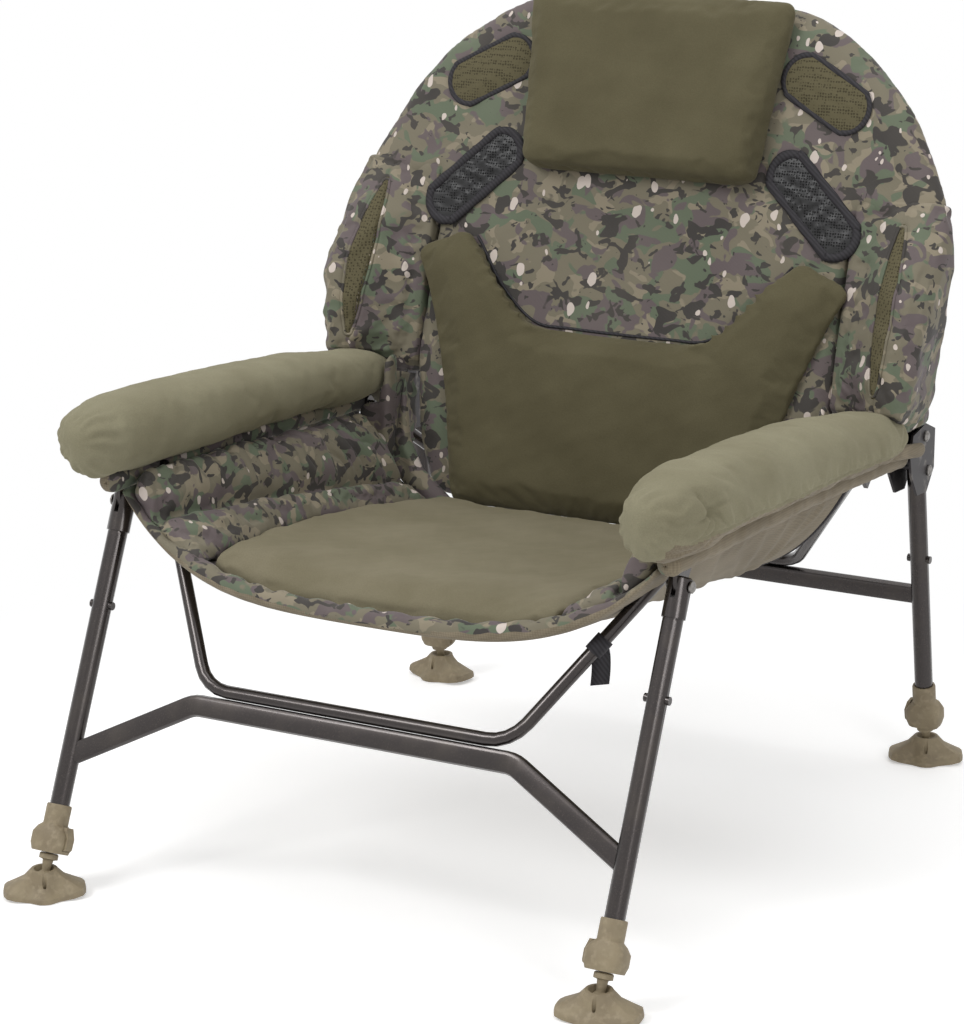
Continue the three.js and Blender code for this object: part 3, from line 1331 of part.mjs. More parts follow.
// The two leg frames, each in a group that turns about its hinge line.
const legFrames = [
  ['front', FRONT, true, [
    v3(-FRAME.halfSpan, 0, -CROSSBAR.frontEndRadial),
    v3(-CROSSBAR.levelHalf, 0, -CROSSBAR.frontRadial),
    v3(CROSSBAR.levelHalf, 0, -CROSSBAR.frontRadial),
    v3(FRAME.halfSpan, 0, -CROSSBAR.frontEndRadial),
  ]],
  ['rear', REAR, false, [
    v3(-FRAME.halfSpan, 0, -CROSSBAR.rearRadial),
    v3(FRAME.halfSpan, 0, -CROSSBAR.rearRadial),
  ]],
];
for (const [end, frame, forked, bar] of legFrames) {
  const group = new THREE.Group();
  group.position.set(0, frame.y, frame.z);
  group.rotation.x = frame.tilt;
  chair.add(group);
  group.add(part(`${end}_crossbar`, crossbar(bar, frame.length), 'gunmetal'));
  const ball = -frame.length;
  for (const [name, side] of Object.entries(SIDES)) {
    const x = side * FRAME.halfSpan;
    const corner = `${end}_${name}`;
    group.add(place(part(`leg_${corner}`, outerLeg(frame, forked), 'gunmetal'), x, 0, 0));
    group.add(place(
      part(`collar_${corner}`, handed(collar(), -side), 'tan_plastic'), x, 0, ball + LEG.collarBase,
    ));
    group.add(place(
      part(`lever_${corner}`, handed(lever(), -side), 'tan_plastic'), x, 0, ball + LEG.collarBase,
    ));
    group.add(place(part(`inner_leg_${corner}`, innerLeg(), 'gunmetal'), x, 0, ball));
    group.add(place(part(`ankle_${corner}`, ankle(), 'tan_plastic'), x, 0, ball));
    const foot = part(`foot_${corner}`, mudFoot(), 'tan_plastic');
    const at = downLeg(frame, frame.length);
    foot.rotation.z = radians(FOOT.yawDegrees[corner]);
    chair.add(place(foot, x, at.y, at.z));
  }
}

// The back.
chair.add(part('back_hoop', hoop(), 'gunmetal'));
chair.add(part('back_shell', backShell(), 'camo_cloth'));
chair.add(part('lumbar_pad', lumbarPad(), 'olive_fleece'));
chair.add(part('headrest_pillow', pillow(), 'olive_fleece'));
for (const [name, side] of Object.entries(SIDES)) {
  chair.add(part(`back_wing_${name}`, backWing(side), 'camo_cloth'));
  chair.add(part(`mesh_window_${name}`, backStrip(WINDOW, side), 'black_mesh'));
  chair.add(part(`mesh_panel_${name}`, backStrip(MESH, side), 'olive_mesh'));
}

// The origin lies on the ground under the middle of the chair.
const group = new THREE.Group();
group.add(chair);
chair.updateMatrixWorld(true);
const box = new THREE.Box3().setFromObject(chair, true);
const middle = box.getCenter(v3(0, 0, 0));
chair.position.set(-middle.x, -middle.y, -box.min.z);
group.updateMatrixWorld(true);

export default group;
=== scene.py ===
"""A folding bankside lounge chair, dressed for its picture.

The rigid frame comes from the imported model. The cushions, the hanging seat, the back and its trim are
made here in the drawing's millimetres, and every piece rides on the body that carries it.
"""

import logging
import math
from dataclasses import dataclass
from enum import Enum
from typing import Callable, Sequence

import bmesh
import bpy
import numpy as np
from mathutils import Matrix, Vector
from mathutils.bvhtree import BVHTree
from mathutils.kdtree import KDTree

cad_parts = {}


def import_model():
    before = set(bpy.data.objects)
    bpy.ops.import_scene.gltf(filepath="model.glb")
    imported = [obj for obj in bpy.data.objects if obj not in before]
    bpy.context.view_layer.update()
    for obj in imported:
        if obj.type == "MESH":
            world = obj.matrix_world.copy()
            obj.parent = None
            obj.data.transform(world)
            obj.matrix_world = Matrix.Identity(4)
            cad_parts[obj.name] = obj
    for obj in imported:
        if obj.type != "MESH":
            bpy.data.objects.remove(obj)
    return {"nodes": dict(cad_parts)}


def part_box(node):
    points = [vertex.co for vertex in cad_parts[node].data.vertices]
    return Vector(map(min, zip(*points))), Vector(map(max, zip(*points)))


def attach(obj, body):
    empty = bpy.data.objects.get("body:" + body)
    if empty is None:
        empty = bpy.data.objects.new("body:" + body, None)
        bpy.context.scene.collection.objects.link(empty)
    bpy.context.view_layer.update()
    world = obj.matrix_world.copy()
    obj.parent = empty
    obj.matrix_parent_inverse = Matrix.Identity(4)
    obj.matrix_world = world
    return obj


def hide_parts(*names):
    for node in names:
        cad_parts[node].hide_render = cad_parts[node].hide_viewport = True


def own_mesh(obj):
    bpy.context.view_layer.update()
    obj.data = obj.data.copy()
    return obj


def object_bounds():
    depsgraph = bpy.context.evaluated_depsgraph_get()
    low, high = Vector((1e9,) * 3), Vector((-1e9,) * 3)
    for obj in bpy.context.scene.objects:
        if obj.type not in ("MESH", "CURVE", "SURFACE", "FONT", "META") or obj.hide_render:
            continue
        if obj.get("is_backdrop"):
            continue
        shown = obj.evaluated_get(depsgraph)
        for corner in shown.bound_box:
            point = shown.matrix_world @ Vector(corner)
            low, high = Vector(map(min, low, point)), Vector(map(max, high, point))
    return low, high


logging.basicConfig(level=logging.INFO, format="%(message)s")
LOG = logging.getLogger("chair")

SIDES: dict[str, int] = {"left": -1, "right": 1}
Points = np.ndarray
Numbers = tuple[float, ...]
Pair = tuple[float, float]
Triple = tuple[float, float, float]
Rule = Callable[[Points], Points]
FaceRule = Callable[[Points, Points], Points]
Piece = bpy.types.Object
Material = bpy.types.Material
Socket = bpy.types.NodeSocket

# Sockets by number, because their names occur more than once on a node: a colour mix's, and a map range's.
SHARE, FROM, TO, MIXED = 0, 6, 7, 2
VALUE, LOW, HIGH, START, END = 0, 1, 2, 3, 4
RGBA = {"data_type": "RGBA"}
SMOOTH = {"interpolation_type": "SMOOTHSTEP"}
WAVE_PITCH = 6.0  # a wave texture's bands lie closer than its scale says, so its pitch is stretched


class Body(str, Enum):
    """The bodies that the soft pieces ride on."""

    FRAME = "chair_frame"
    BACK = "backrest"


class Slot(str, Enum):
    """Names of the record's material slots for the new pieces."""

    FLEECE = "olive_fleece"
    CAMOUFLAGE = "camo_cloth"
    KHAKI = "khaki_cloth"
    BLACK_MESH = "black_mesh"
    OLIVE_MESH = "olive_mesh"
    WEBBING = "webbing"


# Finishes


def linear(colour: str) -> tuple[float, float, float, float]:
    """Turns an sRGB hex colour into linear light.

    Args:
        colour: six hex digits after a hash.

    Returns:
        Red, green, blue and alpha, each from 0 to 1.
    """
    channels = [int(colour[i : i + 2], 16) / 255 for i in (1, 3, 5)]
    light = [c / 12.92 if c <= 0.04045 else ((c + 0.055) / 1.055) ** 2.4 for c in channels]
    return (light[0], light[1], light[2], 1.0)


def per_metre(millimetres: float) -> float:
    """The texture scale at which a pattern repeats about once in so many millimetres."""
    return 1000.0 / millimetres


class Graph:
    """The node tree of a new material or world."""

    def __init__(self, owner: bpy.types.Material | bpy.types.World) -> None:
        """Empties the owner's node tree.

        Args:
            owner: the material or world.
        """
        owner.use_nodes = True
        self.nodes = owner.node_tree.nodes
        self.links = owner.node_tree.links
        self.nodes.clear()

    def add(self, kind: str, inputs: dict, out: int | str | None = 0, **settings: object) -> Socket | None:
        """Adds one node with its settings and links.

        Args:
            kind: the node's type, without the leading ShaderNode.
            inputs: input name or number to a value, or to the output socket that feeds it.
            out: name or number of the output to hand back, or None for a node without outputs.
            **settings: the node's own properties.

        Returns:
            The chosen output socket.
        """
        node = self.nodes.new(f"ShaderNode{kind}")
        for key, value in settings.items():
            setattr(node, key, value)
        self.feed(node, inputs)
        return None if out is None else node.outputs[out]

    def feed(self, node: bpy.types.Node, inputs: dict) -> None:
        """Sets or links a node's inputs.

        Args:
            node: the node.
            inputs: input name or number to a constant, or to the output socket that feeds it.
        """
        for key, value in inputs.items():
            if isinstance(value, Socket):
                self.links.new(value, node.inputs[key])
            else:
                node.inputs[key].default_value = value

    def seen_directly(self) -> Socket:
        """1 for rays from the camera, and for those that metal and glass send on, and 0 for the rest."""
        kinds = ("Is Camera Ray", "Is Glossy Ray", "Is Transmission Ray")
        camera, glossy, through = [self.add("LightPath", {}, kind) for kind in kinds]
        pair = self.add("Math", {0: camera, 1: glossy}, operation="MAXIMUM")
        return self.add("Math", {0: pair, 1: through}, operation="MAXIMUM")


class Tree(Graph):
    """The node tree of one new material, with its surface shader and object coordinates."""

    def __init__(self, name: str) -> None:
        """Makes an empty material.

        Args:
            name: the material's name.
        """
        self.material = bpy.data.materials.new(name)
        super().__init__(self.material)
        self.surface = self.add("BsdfPrincipled", {})
        self.output = self.add("OutputMaterial", {"Surface": self.surface}, out=None)
        self.place = self.add("TexCoord", {}, out="Object")

    def dress(self, values: dict) -> None:
        """Sets or links the surface shader's own sockets.

        Args:
            values: socket name to a constant or to an output socket.
        """
        self.feed(self.surface.node, values)

    def pattern(self, pitch_mm: float, **more: object) -> dict:
        """The inputs of a texture that repeats at a pitch over the object.

        Args:
            pitch_mm: size of a feature in millimetres.
            **more: the texture's other inputs.

        Returns:
            Its inputs.
        """
        return {"Vector": self.place, "Scale": per_metre(pitch_mm), **more}


@dataclass(frozen=True)
class PowderCoatedSteel:
    """Steel tube with a baked metallic powder coat: satin brown-grey, fine sparkle, long soft highlights."""

    name: str = "powder_coated_steel"
    base: str = "#363130"
    fleck: str = "#4e4743"
    dust: str = "#453f3a"
    fleck_mm: float = 1.3  # real flakes are 0.1 mm; they are drawn coarser so that they show
    peel_mm: float = 3.2
    cloud_mm: float = 40.0

    def build(self) -> Material:
        """Makes the coat: flakes sparkle, orange peel breaks the highlight, handling dulls it in clouds."""
        tree = Tree(self.name)
        speckle = tree.add("TexNoise", tree.pattern(self.fleck_mm, Detail=3.0))
        flakes = tree.add("MapRange", {VALUE: speckle, LOW: 0.56, HIGH: 0.74})
        cloud = tree.add("TexNoise", tree.pattern(self.cloud_mm, Detail=4.0))
        coat = tree.add("Mix", {SHARE: flakes, FROM: linear(self.base), TO: linear(self.fleck)}, MIXED, **RGBA)
        handled = tree.add("MapRange", {VALUE: cloud, LOW: 0.5, HIGH: 0.9})
        colour = tree.add("Mix", {SHARE: handled, FROM: coat, TO: linear(self.dust)}, MIXED, **RGBA)
        rough = tree.add("MapRange", {VALUE: cloud, LOW: 0.3, HIGH: 0.75, START: 0.24, END: 0.34})
        peel = tree.add("TexNoise", tree.pattern(self.peel_mm, Detail=1.0))
        waves = tree.add("Bump", {"Height": peel, "Strength": 0.1, "Distance": 0.0001})
        normal = tree.add("Bump", {"Height": flakes, "Strength": 0.06, "Distance": 0.00003, "Normal": waves})
        tree.dress({"Base Color": colour, "Roughness": rough, "Normal": normal, "Metallic": 0.8})
        tree.dress({"Coat Weight": 0.45, "Coat Roughness": 0.16})
        return tree.material


@dataclass(frozen=True)
class PressedSteel:
    """Pressed sheet steel, powder-coated black: satin, with grey worn through on its faces."""

    name: str = "pressed_steel_black"
    base: str = "#3a3738"
    worn: str = "#716c67"
    wear_mm: float = 15.0
    peel_mm: float = 2.6

    def build(self) -> Material:
        """Makes the pressing: cloudy wear and a fine orange peel."""
        tree = Tree(self.name)
        cloud = tree.add("TexNoise", tree.pattern(self.wear_mm, Detail=5.0))
        wear = tree.add("MapRange", {VALUE: cloud, LOW: 0.58, HIGH: 0.72})
        colour = tree.add("Mix", {SHARE: wear, FROM: linear(self.base), TO: linear(self.worn)}, MIXED, **RGBA)
        peel = tree.add("TexNoise", tree.pattern(self.peel_mm, Detail=2.0))
        normal = tree.add("Bump", {"Height": peel, "Strength": 0.2, "Distance": 0.00015})
        tree.dress({"Base Color": colour, "Normal": normal, "Metallic": 0.7, "Roughness": 0.42})
        return tree.material


@dataclass(frozen=True)
class ZincPlate:
    """Zinc-plated fastener, barrel plated: pale grey and slightly cloudy in colour and gloss."""

    name: str = "zinc_plate"
    base: str = "#908d89"
    cloudy: str = "#6d6966"
    cloud_mm: float = 3.5

    def build(self) -> Material:
        """Makes the plating."""
        tree = Tree(self.name)
        cloud = tree.add("TexNoise", tree.pattern(self.cloud_mm, Detail=3.0))
        share = tree.add("MapRange", {VALUE: cloud, LOW: 0.4, HIGH: 0.7})
        tones = {FROM: linear(self.base), TO: linear(self.cloudy)}
        colour = tree.add("Mix", {SHARE: share, **tones}, MIXED, **RGBA)
        rough = tree.add("MapRange", {VALUE: cloud, LOW: 0.3, HIGH: 0.7, START: 0.28, END: 0.45})
        tree.dress({"Base Color": colour, "Roughness": rough, "Metallic": 0.9})
        return tree.material


@dataclass(frozen=True)
class MouldedNylon:
    """Injection-moulded nylon: matt tan with the mould's fine grain, paler where it is scuffed."""

    name: str = "moulded_nylon_tan"
    base: str = "#8c7f65"
    scuffed: str = "#998c73"
    shaded: str = "#7d7059"
    drift_mm: float = 26.0
    scuff_mm: float = 7.0
    grain_mm: float = 1.1

    def build(self) -> Material:
        """Makes the nylon: a slow drift of tone, pale scuffs and a spark-eroded grain."""
        tree = Tree(self.name)
        slow = tree.add("TexNoise", tree.pattern(self.drift_mm, Detail=3.0))
        drift = tree.add("MapRange", {VALUE: slow, LOW: 0.36, HIGH: 0.66})
        tone = tree.add("Mix", {SHARE: drift, FROM: linear(self.shaded), TO: linear(self.base)}, MIXED, **RGBA)
        rub = tree.add("TexNoise", tree.pattern(self.scuff_mm, Detail=5.0))
        scuffs = tree.add("MapRange", {VALUE: rub, LOW: 0.5, HIGH: 0.8})
        colour = tree.add("Mix", {SHARE: scuffs, FROM: tone, TO: linear(self.scuffed)}, MIXED, **RGBA)
        grain = tree.add("TexNoise", tree.pattern(self.grain_mm, Detail=2.0))
        normal = tree.add("Bump", {"Height": grain, "Strength": 0.35, "Distance": 0.00012})
        tree.dress({"Base Color": colour, "Normal": normal, "Roughness": 0.62, "IOR": 1.53})
        return tree.material


@dataclass(frozen=True)
class BrushedFleece:
    """Knitted polyester fleece, brushed: a matt olive pile whose tone shifts where it was stroked."""

    name: str = "brushed_fleece"
    base: str = "#6a6550"
    pale: str = "#736e59"
    dark: str = "#5f5a46"
    gap: str = "#2f2d22"
    sheen: str = "#b8b29c"
    stroke_mm: float = 85.0
    pile_mm: float = 1.5  # real pile is under 1 mm; it is drawn coarser so that it shows
    nap_mm: float = 9.0

    def build(self) -> Material:
        """Makes the fleece: stroked patches, the pile's speckle and bump, and a soft sheen at its edges."""
        tree = Tree(self.name)
        stroke = tree.add("TexNoise", tree.pattern(self.stroke_mm, Detail=3.0))
        share = tree.add("MapRange", {VALUE: stroke, LOW: 0.34, HIGH: 0.68})
        tone = tree.add("Mix", {SHARE: share, FROM: linear(self.dark), TO: linear(self.pale)}, MIXED, **RGBA)
        mid = tree.add("Mix", {SHARE: 0.5, FROM: tone, TO: linear(self.base)}, MIXED, **RGBA)
        pile = tree.add("TexNoise", tree.pattern(self.pile_mm, Detail=3.0, Roughness=0.7))
        deep = tree.add("Mix", {SHARE: 0.2, FROM: mid, TO: linear(self.gap)}, MIXED, **RGBA)
        speckle = tree.add("MapRange", {VALUE: pile, LOW: 0.3, HIGH: 0.72})
        colour = tree.add("Mix", {SHARE: speckle, FROM: deep, TO: mid}, MIXED, **RGBA)
        nap = tree.add("TexNoise", tree.pattern(self.nap_mm, Detail=2.0))
        soft = tree.add("Bump", {"Height": nap, "Strength": 0.18, "Distance": 0.0012})
        normal = tree.add("Bump", {"Height": pile, "Strength": 0.5, "Distance": 0.00045, "Normal": soft})
        tree.dress({"Base Color": colour, "Normal": normal, "Roughness": 0.96, "Specular IOR Level": 0.12})
        tree.dress({"Sheen Weight": 0.26, "Sheen Roughness": 0.5, "Sheen Tint": linear(self.sheen)})
        return tree.material


@dataclass(frozen=True)
class CamouflageTwill:
    """Printed polyester twill: a made-up woodland print in olive, sage, mauve and charcoal, pale flecks."""

    name: str = "camouflage_twill"
    ground: str = "#756f5e"
    sand: str = "#8a816e"
    sage: str = "#606a57"
    mauve: str = "#625859"
    charcoal: str = "#3b3836"
    fleck: str = "#cdc1b8"
    faded: str = "#8a8376"
    blob_mm: float = 36.0
    stroke_mm: float = 17.0
    fleck_mm: float = 31.0
    twill_mm: float = 1.6  # real twill lines are 0.4 mm apart; they are drawn coarser so that they show
    ink_edge: float = 0.014  # how much of the noise an ink's edge takes up

    def patches(self, tree: Tree, shift: float, size_mm: float, level: float) -> Socket:
        """One ink's patches.

        Args:
            tree: the material's tree.
            shift: where in the noise this ink is cut, in metres.
            size_mm: size of its patches.
            level: share of the noise that stays bare.

        Returns:
            1 where the ink prints and 0 elsewhere, with an edge about a millimetre wide.
        """
        moved = (shift, -1.7 * shift, 0.6 * shift)
        place = tree.add("Mapping", {"Vector": tree.place, "Location": moved, "Scale": (1.0, 1.0, 1.3)})
        cloud = {"Vector": place, "Scale": per_metre(size_mm)}
        cloud |= {"Detail": 1.9, "Roughness": 0.5, "Distortion": 0.6}
        noise = tree.add("TexNoise", cloud)
        return tree.add("MapRange", {VALUE: noise, LOW: level, HIGH: level + self.ink_edge})

    def flecks(self, tree: Tree, pitch_mm: float, radius: float, kept: float) -> Socket:
        """Pale oval flecks scattered over the cloth.

        Args:
            tree: the material's tree.
            pitch_mm: distance between their places.
            radius: a fleck's radius as a share of that distance.
            kept: share of the places that hold a fleck.

        Returns:
            1 on a fleck and 0 elsewhere.
        """
        bend = tree.add("TexNoise", tree.pattern(16.0, Detail=1.0), "Color")
        place = tree.add("Mix", {SHARE: 0.008, FROM: tree.place, TO: bend}, MIXED, **RGBA, blend_type="ADD")
        oval = tree.add("Mapping", {"Vector": place, "Rotation": (0.5, 0.3, 0.7), "Scale": (1.0, 0.75, 0.62)})
        cells = {"Vector": oval, "Scale": per_metre(pitch_mm), "Randomness": 1.0}
        inside = tree.add("Math", {0: tree.add("TexVoronoi", cells), 1: radius}, operation="LESS_THAN")
        chance = tree.add("SeparateColor", {0: tree.add("TexVoronoi", cells, "Color")})
        held = tree.add("Math", {0: chance, 1: 1.0 - kept}, operation="GREATER_THAN")
        return tree.add("Math", {0: inside, 1: held}, operation="MULTIPLY")

    def build(self) -> Material:
        """Makes the print: four inks over the ground, two sizes of fleck, a slow fade and the diagonal."""
        tree = Tree(self.name)
        masks = [
            (self.sand, self.patches(tree, 0.31, self.blob_mm, 0.55)),
            (self.sage, self.patches(tree, 1.13, self.blob_mm * 1.15, 0.53)),
            (self.mauve, self.patches(tree, 2.71, self.blob_mm * 0.95, 0.545)),
            (self.charcoal, self.patches(tree, 4.37, self.blob_mm * 0.8, 0.58)),
            (self.charcoal, self.patches(tree, 6.03, self.stroke_mm, 0.635)),
            (self.fleck, self.flecks(tree, self.fleck_mm, 0.17, 0.7)),
            (self.fleck, self.flecks(tree, self.fleck_mm * 0.55, 0.15, 0.42)),
        ]
        colour: object = linear(self.ground)
        for ink, mask in masks:
            colour = tree.add("Mix", {SHARE: mask, FROM: colour, TO: linear(ink)}, MIXED, **RGBA)
        sun = tree.add("TexNoise", tree.pattern(90.0, Detail=3.0))
        fade = tree.add("MapRange", {VALUE: sun, LOW: 0.3, HIGH: 0.75, START: 0.0, END: 0.12})
        colour = tree.add("Mix", {SHARE: fade, FROM: colour, TO: linear(self.faded)}, MIXED, **RGBA)
        lines = tree.pattern(self.twill_mm * WAVE_PITCH, Distortion=1.5)
        twill = tree.add("TexWave", lines, 1, bands_direction="DIAGONAL")
        slack = tree.add("TexNoise", tree.pattern(14.0, Detail=3.0))
        loose = tree.add("Bump", {"Height": slack, "Strength": 0.25, "Distance": 0.0016})
        normal = tree.add("Bump", {"Height": twill, "Strength": 0.18, "Distance": 0.0002, "Normal": loose})
        tree.dress({"Base Color": colour, "Normal": normal, "Roughness": 0.78, "Specular IOR Level": 0.3})
        tree.dress({"Sheen Weight": 0.1, "Sheen Roughness": 0.4})
        return tree.material


@dataclass(frozen=True)
class PlainWeave:
    """Plain-woven polyester, calendered: matt khaki with slubs, fine crossed threads and soft slack."""

    name: str = "plain_weave_khaki"
    base: str = "#857a66"
    pale: str = "#958a76"
    dark: str = "#6f6553"
    gap: str = "#3d372c"
    thread_mm: float = 1.5  # real threads are 0.4 mm; they are drawn coarser so that they show
    drift_mm: float = 60.0

    def build(self) -> Material:
        """Makes the weave: crossed threads over a slow drift of tone."""
        tree = Tree(self.name)
        slow = tree.add("TexNoise", tree.pattern(self.drift_mm, Detail=4.0))
        drift = tree.add("MapRange", {VALUE: slow, LOW: 0.35, HIGH: 0.68})
        tone = tree.add("Mix", {SHARE: drift, FROM: linear(self.dark), TO: linear(self.pale)}, MIXED, **RGBA)
        mid = tree.add("Mix", {SHARE: 0.5, FROM: tone, TO: linear(self.base)}, MIXED, **RGBA)
        lines = tree.pattern(self.thread_mm * WAVE_PITCH, Distortion=0.8)
        threads = [tree.add("TexWave", lines, 1, bands_direction=axis) for axis in "XYZ"]
        pair = tree.add("Math", {0: threads[0], 1: threads[1]}, operation="ADD")
        weave = tree.add("Math", {0: pair, 1: threads[2]}, operation="ADD")
        deep = tree.add("Mix", {SHARE: 0.3, FROM: mid, TO: linear(self.gap)}, MIXED, **RGBA)
        shade = tree.add("MapRange", {VALUE: weave, LOW: 0.6, HIGH: 2.4})
        colour = tree.add("Mix", {SHARE: shade, FROM: deep, TO: mid}, MIXED, **RGBA)
        slack = tree.add("TexNoise", tree.pattern(22.0, Detail=3.0))
        loose = tree.add("Bump", {"Height": slack, "Strength": 0.3, "Distance": 0.0022})
        normal = tree.add("Bump", {"Height": weave, "Strength": 0.25, "Distance": 0.0002, "Normal": loose})
        tree.dress({"Base Color": colour, "Normal": normal, "Roughness": 0.86, "Specular IOR Level": 0.22})
        tree.dress({"Sheen Weight": 0.1})
        return tree.material


@dataclass(frozen=True)
class KnittedMesh:
    """Warp-knitted mesh: threads round small holes, which are painted dark as the shade seen through the mesh."""

    name: str = "vent_mesh_black"
    thread: str = "#1e1e1f"
    # painted shade: the holes are coloured darker than the threads, for the shade seen through the mesh
    hole_painted_shade: str = "#0b0b0c"
    pitch_mm: float = 3.2  # real holes are 2 mm apart; they are drawn coarser so that they show
    open_share: float = 0.3
    gloss: float = 0.42
    glint: float = 0.4

    def build(self) -> Material:
        """Makes the mesh: rounded holes in a jittered grid, painted darker as shade, the threads glossier than
        the holes.
        """
        tree = Tree(self.name)
        cells = tree.pattern(self.pitch_mm, Randomness=0.28)
        distance = tree.add("TexVoronoi", cells)
        threads = tree.add("MapRange", {VALUE: distance, LOW: self.open_share, HIGH: self.open_share + 0.12})
        tones = {FROM: linear(self.hole_painted_shade), TO: linear(self.thread)}
        colour = tree.add("Mix", {SHARE: threads, **tones}, MIXED, **RGBA)
        rough = tree.add("MapRange", {VALUE: threads, START: 0.9, END: self.gloss})
        slack = tree.add("TexNoise", tree.pattern(18.0, Detail=2.0))
        loose = tree.add("Bump", {"Height": slack, "Strength": 0.3, "Distance": 0.002})
        normal = tree.add("Bump", {"Height": threads, "Strength": 0.7, "Distance": 0.0007, "Normal": loose})
        tree.dress({"Base Color": colour, "Roughness": rough, "Normal": normal})
        tree.dress({"Specular IOR Level": self.glint})
        return tree.material


@dataclass(frozen=True)
class WovenTape:
    """Woven nylon tape, also wrapped round piping cord: charcoal with fine ribs that catch the light."""

    name: str = "woven_tape_black"
    base: str = "#1f1d20"
    rib: str = "#302e32"
    rib_mm: float = 1.8

    def build(self) -> Material:
        """Makes the tape."""
        tree = Tree(self.name)
        lines = tree.pattern(self.rib_mm * WAVE_PITCH, Distortion=0.5)
        ribs = tree.add("TexWave", lines, 1, bands_direction="DIAGONAL")
        colour = tree.add("Mix", {SHARE: ribs, FROM: linear(self.base), TO: linear(self.rib)}, MIXED, **RGBA)
        normal = tree.add("Bump", {"Height": ribs, "Strength": 0.35, "Distance": 0.00025})
        tree.dress({"Base Color": colour, "Normal": normal, "Roughness": 0.7, "Specular IOR Level": 0.35})
        return tree.material


class Wardrobe:
    """Every finish of the chair, built once."""

    def __init__(self) -> None:
        """Builds the materials."""
        self.tube = PowderCoatedSteel().build()
        self.pressing = PressedSteel().build()
        self.zinc = ZincPlate().build()
        self.nylon = MouldedNylon().build()
        # One fleece in three copies, each with its brightness painted for the light its place gets: the back's is
        # darker as painted shade, and the seat's and the arms' are paler as painted light.
        self.back_fleece_painted_shade = BrushedFleece("brushed_fleece_back_painted_shade", "#5e5843", "#656049", "#544f3a").build()
        self.seat_fleece_painted_light = BrushedFleece("brushed_fleece_seat_painted_light", "#7c7560", "#857e69", "#706a54").build()
        self.arm_fleece_painted_light = BrushedFleece("brushed_fleece_arm_painted_light", "#89846d", "#949078", "#7b765f").build()
        self.camouflage = CamouflageTwill().build()
        self.khaki = PlainWeave().build()
        self.black_mesh = KnittedMesh().build()
        # The olive mesh's second colour is its holes' painted shade.
        self.olive_mesh = KnittedMesh("spacer_mesh_olive", "#5e5842", "#433e2e", 3.4, 0.28, 0.85, 0.2).build()
        self.tape = WovenTape().build()


# Shapes, in the drawing's millimetres: X to the right, Y to the rear, Z up.


def mix(a: float | Points, b: float | Points, share: float | Points) -> float | Points:
    """Goes from a to b by a share."""
    return a + (b - a) * share


def unit(rows: Points) -> Points:
    """Rows of points as directions of length 1."""
    return rows / np.linalg.norm(rows, axis=1)[:, None]


def eased(low: float, high: float, value: float | Points) -> Points:
    """A smooth step: 0 below low and 1 above high."""
    share = np.clip((np.asarray(value, float) - low) / (high - low), 0.0, 1.0)
    return share * share * (3 - 2 * share)


def hump(value: float | Points, centre: float, reach: float) -> Points:
    """A bell of height 1 at a centre, nearly gone at twice its reach."""
    return np.exp(-(((np.asarray(value, float) - centre) / reach) ** 2))


def fullness(value: Points, low: float, high: float, reach: float) -> Points:
    """How full a cushion is across a span: 0 at its edges and 1 further in than its reach."""
    inside = np.minimum(np.asarray(value, float) - low, high - value) / reach
    return np.sqrt(np.clip(1 - (1 - np.clip(inside, 0, 1)) ** 2, 0, 1))


def ripple(points: Points, pitch: float, seed: int, octaves: int = 2) -> Points:
    """A smooth repeatable noise in space.

    Args:
        points: places in millimetres, as rows or as a grid.
        pitch: size of a feature in millimetres.
        seed: which noise.
        octaves: how many finer copies are added.

    Returns:
        One value for each point, about -1 to 1.
    """
    random = np.random.default_rng(seed)
    rows = points.reshape(-1, 3)
    total = np.zeros(len(rows))
    weight = 1.0
    for octave in range(octaves):
        for _ in range(6):
            direction = random.normal(size=3)
            direction *= 2 * math.pi / (pitch / 2**octave * np.linalg.norm(direction))
            total += weight * np.sin(rows @ direction + random.uniform(0, 2 * math.pi)) / 3.4
        weight *= 0.5
    return total.reshape(points.shape[:-1])


def rounded_line(points: Sequence[Sequence[float]], count: int, closed: bool = False) -> Points:
    """A smooth line through points, in even steps.

    Args:
        points: what it goes through, two or three numbers each.
        count: how many points come back.
        closed: whether the line returns to its start.

    Returns:
        The line's points.
    """
    given = np.asarray(points, float)
    last = len(given)
    index = np.arange(last if closed else last - 1)
    share = np.linspace(0, 1, 12, endpoint=False)[None, :, None]
    around = [index + k for k in (-1, 0, 1, 2)]
    near = [given[k % last if closed else np.clip(k, 0, last - 1)] for k in around]
    a, b, c, d = [side[:, None, :] for side in near]
    square = (2 * a - 5 * b + 4 * c - d) * share**2
    curve = 0.5 * (2 * b + (c - a) * share + square + (3 * b - a - 3 * c + d) * share**3)
    curve = curve.reshape(-1, given.shape[1])
    curve = np.vstack([curve, given[:1] if closed else given[-1:]])
    run = np.concatenate([[0], np.cumsum(np.linalg.norm(np.diff(curve, axis=0), axis=1))])
    stops = np.linspace(0, run[-1], count, endpoint=not closed)
    return np.stack([np.interp(stops, run, curve[:, k]) for k in range(given.shape[1])], axis=1)


